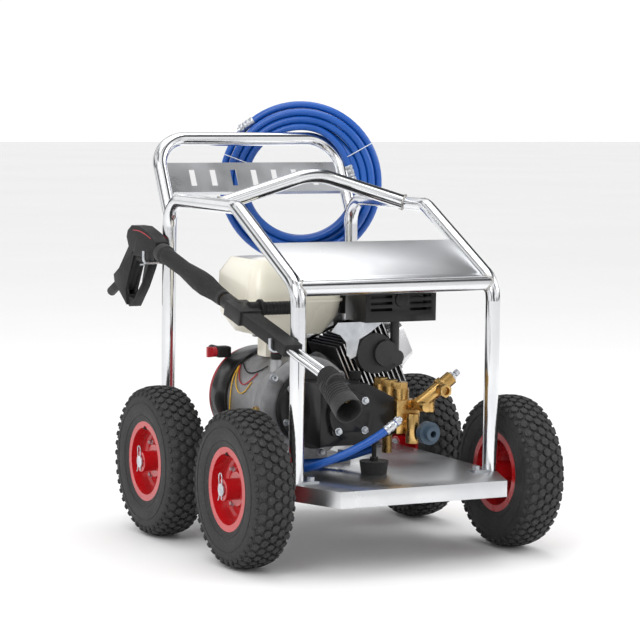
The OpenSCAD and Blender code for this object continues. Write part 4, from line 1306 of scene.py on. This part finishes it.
# Name, centre across, front face, bolt circle, angles and size across flats
BOLT_CIRCLES = (
    ("side_cover_bolts", CRANK.x, COVER_FRONT_Y, 0.103, range(40, 291, 50), 0.012),
    ("gearbox_bolts", PUMP_X - 0.012, GEAR_FRONT_Y, 0.077, (35, 90, 145, 200), 0.009),
    ("pump_cover_bolts", PUMP_X, PUMP_COVER_FRONT_Y, 0.0438, range(45, 316, 90), 0.010),
)
for name, *circle in BOLT_CIRCLES:
    bolts(name, "frame", round_face(*circle))
bolts(
    "engine_foot_bolts",
    "frame",
    [
        ((x, y, ENGINE_FOOT_TOP_Z), (0, 0, 1), 0.0145)
        for x in (-0.226, -0.006)
        for y in (-0.066, 0.031)
    ],
)

amber_glass = finish_material(
    "amber_glass",
    (0.42, 0.3, 0.03),
    (0.2, 0.3, 0.08),
    (0.06, 0.14),
    scale=70.0,
    dust=0.0,
    coat=0.8,
)
SIGHT_AT = Vector((-0.2305, -0.105, 0.302))
bezel = turned(
    "sight_bezel",
    [(0.0100, 0.0), (0.0132, 0.0), (0.0136, 0.0015), (0.0132, 0.0060),
     (0.0122, 0.0072), (0.0108, 0.0066), (0.0100, 0.0030)],
    40,
    closed=True,
)  # fmt: skip
bezel.data.transform(along_x(SIGHT_AT, (-1, 0, 0)))
finished(bezel, brass, "frame")
lens = turned(
    "sight_lens", [(0.0101, 0.0), (0.0101, 0.0042), (0.0070, 0.0056), (0.0020, 0.0062)], 40
)
lens.data.transform(along_x(SIGHT_AT, (-1, 0, 0)))
finished(lens, amber_glass, "frame")

FILLER_X, FILLER_Y = -0.186, -0.105
filler = turned(
    "oil_filler_neck",
    [(0.0110, 0.0), (0.0110, 0.004), (0.0122, 0.005), (0.0122, 0.013),
     (0.0110, 0.014), (0.0108, 0.0145)],
    40,
)  # fmt: skip
filler.data.transform(along_x((FILLER_X, FILLER_Y, 0.414), (0, 0, 1)))
finished(filler, black_plastic, "frame")
filler_top = turned(
    "oil_filler_top",
    [(0.0118, 0.0), (0.0130, 0.0008), (0.0130, 0.0050), (0.0118, 0.0062), (0.0060, 0.0064)],
    14,
)  # fmt: skip
filler_top.data.transform(along_x((FILLER_X, FILLER_Y, 0.4282), (0, 0, 1)))
finished(filler_top, red_plastic, "frame", 20)

# Moulded box of the engine switch, in which the red knob turns
deselect()
bpy.ops.mesh.primitive_cube_add(size=1, location=(-0.212, 0.1073, 0.410))
switch_box = bpy.context.object
switch_box.name = "switch_box"
switch_box.scale = (0.032, 0.028, 0.024)
settle(switch_box)
to_edit(switch_box)
bpy.ops.mesh.select_all(action="SELECT")
bpy.ops.mesh.bevel(offset=0.0035, segments=3)
to_object()
finished(switch_box, black_plastic, "frame")

# Spark plug: a ribbed white insulator under a black boot
PLUG_DIR = Vector((math.cos(math.radians(25)), 0, math.sin(math.radians(25))))
PLUG_AT = CRANK + PLUG_DIR * 0.2592 + Vector((-0.0262, 0, 0.0562))
insulator = turned(
    "plug_insulator",
    [(0.0072, 0.0), (0.0072, 0.006), (0.0052, 0.008), (0.0052, 0.010), (0.0058, 0.011),
     (0.0052, 0.012), (0.0058, 0.013), (0.0052, 0.014), (0.0050, 0.020)],
    28,
)  # fmt: skip
insulator.data.transform(along_x(PLUG_AT, PLUG_DIR))
finished(insulator, ceramic, "frame")
boot = turned(
    "plug_boot",
    [(0.0060, 0.016), (0.0074, 0.017), (0.0074, 0.032), (0.0060, 0.0338), (0.0030, 0.034)],
    28,
)
boot.data.transform(along_x(PLUG_AT, PLUG_DIR))
plug_fittings = finished(boot, black_plastic, "frame")
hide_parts("engine_fittings")
finished(
    smooth_curve(
        "plug_lead",
        [
            PLUG_AT + PLUG_DIR * 0.026 + Vector((-0.004, 0, 0.004)),
            Vector((0.098, 0.004, 0.489)), Vector((0.062, 0.034, 0.476)),
            Vector((0.020, 0.050, 0.458)), Vector((-0.020, 0.053, 0.440)),
            Vector((-0.042, 0.0535, 0.425)),
        ],
        0.0034,
        4,
    ),
    black_plastic,
    "frame",
)


def on_case(degrees, y, lift=0.0022):
    """A point just off the round crankcase: 180 degrees is its left side."""
    a = math.radians(degrees)
    r = CASE_R + lift
    return Vector((CRANK.x + r * math.cos(a), y, CRANK.z + r * math.sin(a)))


wire_yellow = finish_material(
    "wire_yellow",
    (0.72, 0.42, 0.02),
    (0.62, 0.34, 0.015),
    (0.35, 0.5),
    scale=60.0,
    dust=0.05,
)
WIRES = (
    ("wire_yellow_long", wire_yellow, "hose_blue",
     [(138, 0.053), (150, 0.048), (163, 0.040), (175, 0.036), (186, 0.038), (196, 0.044)]),
    ("wire_yellow_loop", wire_yellow, "hose_blue",
     [(136, 0.053), (150, 0.036), (162, 0.016), (168, -0.008), (164, -0.030), (152, -0.044)]),
    ("wire_red", red_plastic, "red_plastic",
     [(134, 0.053), (146, 0.030), (155, 0.008), (157, -0.016), (150, -0.036), (140, -0.048)]),
    ("wire_black", black_plastic, "black_plastic",
     [(130, 0.053), (136, 0.028), (141, 0.002), (141, -0.026), (135, -0.050), (127, -0.062)]),
)  # fmt: skip
for name, material, slot, route in WIRES:
    finished(
        smooth_curve(name, [on_case(a, y) for a, y in route], 0.0013, 3),
        material,
        "frame",
    )

# ---- Lance details ----
# A brass collar between the grip and the moulded cover, the two plated tubes in front
# of it, a ribbed side handle and a red line let into each side of the gun.
collar = turned(
    "lance_collar",
    [(0.0092, 0.0230), (0.0118, 0.0232), (0.0122, 0.0245), (0.0122, 0.0310),
     (0.0112, 0.0325), (0.0092, 0.0330)],
    36,
)  # fmt: skip
collar.data.transform(along_x(on_lance(0.0), LANCE_DIR))
finished(collar, brass, "lance")
for side in (-1, 1):
    sleeve = turned(
        f"lance_tube_{'inner' if side > 0 else 'outer'}",
        [(0.0060, 0.3565), (0.00625, 0.3568), (0.00625, 0.5050), (0.0060, 0.5055)],
        32,
    )
    sleeve.data.transform(along_x(on_lance(0.0) + Vector((side * 0.011, 0, 0)), LANCE_DIR))
    finished(sleeve, tube_metal, "lance")
SIDE_LENGTH = 0.1003
SIDE_PIVOT = on_lance(0.118) + LANCE_UP * 0.010
RIB_START, RIB_PITCH = 0.011, 0.0086
RIB_LOW_R, RIB_HIGH_R = 0.0134, 0.0144
handle_rings = [
    (0.0068, -0.0180), (0.0069, 0.0003), (0.0190, 0.0004), (0.0199, 0.0016),
    (0.0199, 0.0070), (0.0185, 0.0080), (0.0136, 0.0086),
]  # fmt: skip
z = RIB_START
while z < SIDE_LENGTH - 0.006:
    handle_rings += [
        (RIB_LOW_R, z), (RIB_LOW_R, z + 0.0022), (RIB_HIGH_R, z + 0.0030),
        (RIB_HIGH_R, z + 0.0062), (RIB_LOW_R, z + 0.0070),
    ]  # fmt: skip
    z += RIB_PITCH
handle_rings += [
    (0.0142, SIDE_LENGTH - 0.0022),
    (0.0142, SIDE_LENGTH - 0.0010),
    (0.0110, SIDE_LENGTH - 0.0003),
]
side_grip = turned("side_handle_ribbed", handle_rings, 40)
side_grip.data.transform(along_x(SIDE_PIVOT + Vector((0.0323, 0, 0)), (1, 0, 0)))
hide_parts("side_handle")
finished(side_grip, black_plastic, "turn_handle", 40)
GUN_LINE = ((0.335, 0.6435), (0.370, 0.6525), (0.405, 0.6575), (0.436, 0.6570))
for side in (-1, 1):
    x = LANCE_START.x + side * 0.0158
    finished(
        smooth_curve(
            f"gun_line_{'inner' if side > 0 else 'outer'}",
            [Vector((x, y, z)) for y, z in GUN_LINE],
            0.0012,
            3,
        ),
        red_plastic,
        "lance",
    )

# ---- Fin edge highlights ----
# A thin strip of bright metal on the front edge of every cooling fin: painted highlights where the
# fin edges catch the light.
deselect()
bpy.ops.mesh.primitive_cube_add(size=1)
fin_highlight_strip = bpy.context.object
fin_highlight_strip.scale = (0.143, 0.0004, 0.0024)
settle(fin_highlight_strip)
to_edit(fin_highlight_strip)
bpy.ops.mesh.select_all(action="SELECT")
bpy.ops.mesh.bevel(offset=0.0001, segments=1)
to_object()
FIN_FRONT_Y = CRANK.y - 0.0660
BARREL_START, HEAD_START = 0.1143, 0.2126  # from the crankshaft, along the bore
barrel_fins = [BARREL_START + 0.0155 + i * 0.010 for i in range(9)]
head_fins = [HEAD_START + 0.0075 + i * 0.011 for i in range(4)]
places = []
for s in barrel_fins + head_fins:
    spot = CRANK + PLUG_DIR * s
    spot.y = FIN_FRONT_Y
    places.append(
        Matrix.Translation(spot) @ Matrix.Rotation(math.radians(65), 4, "Y")
    )
# The bright strips paint the highlights along the front fin edges.
many("fin_highlight_strips", fin_highlight_strip, places, bright_cover, "frame")
bpy.data.objects.remove(fin_highlight_strip)


# ---- End ----
bpy.data.objects.remove(bolt)
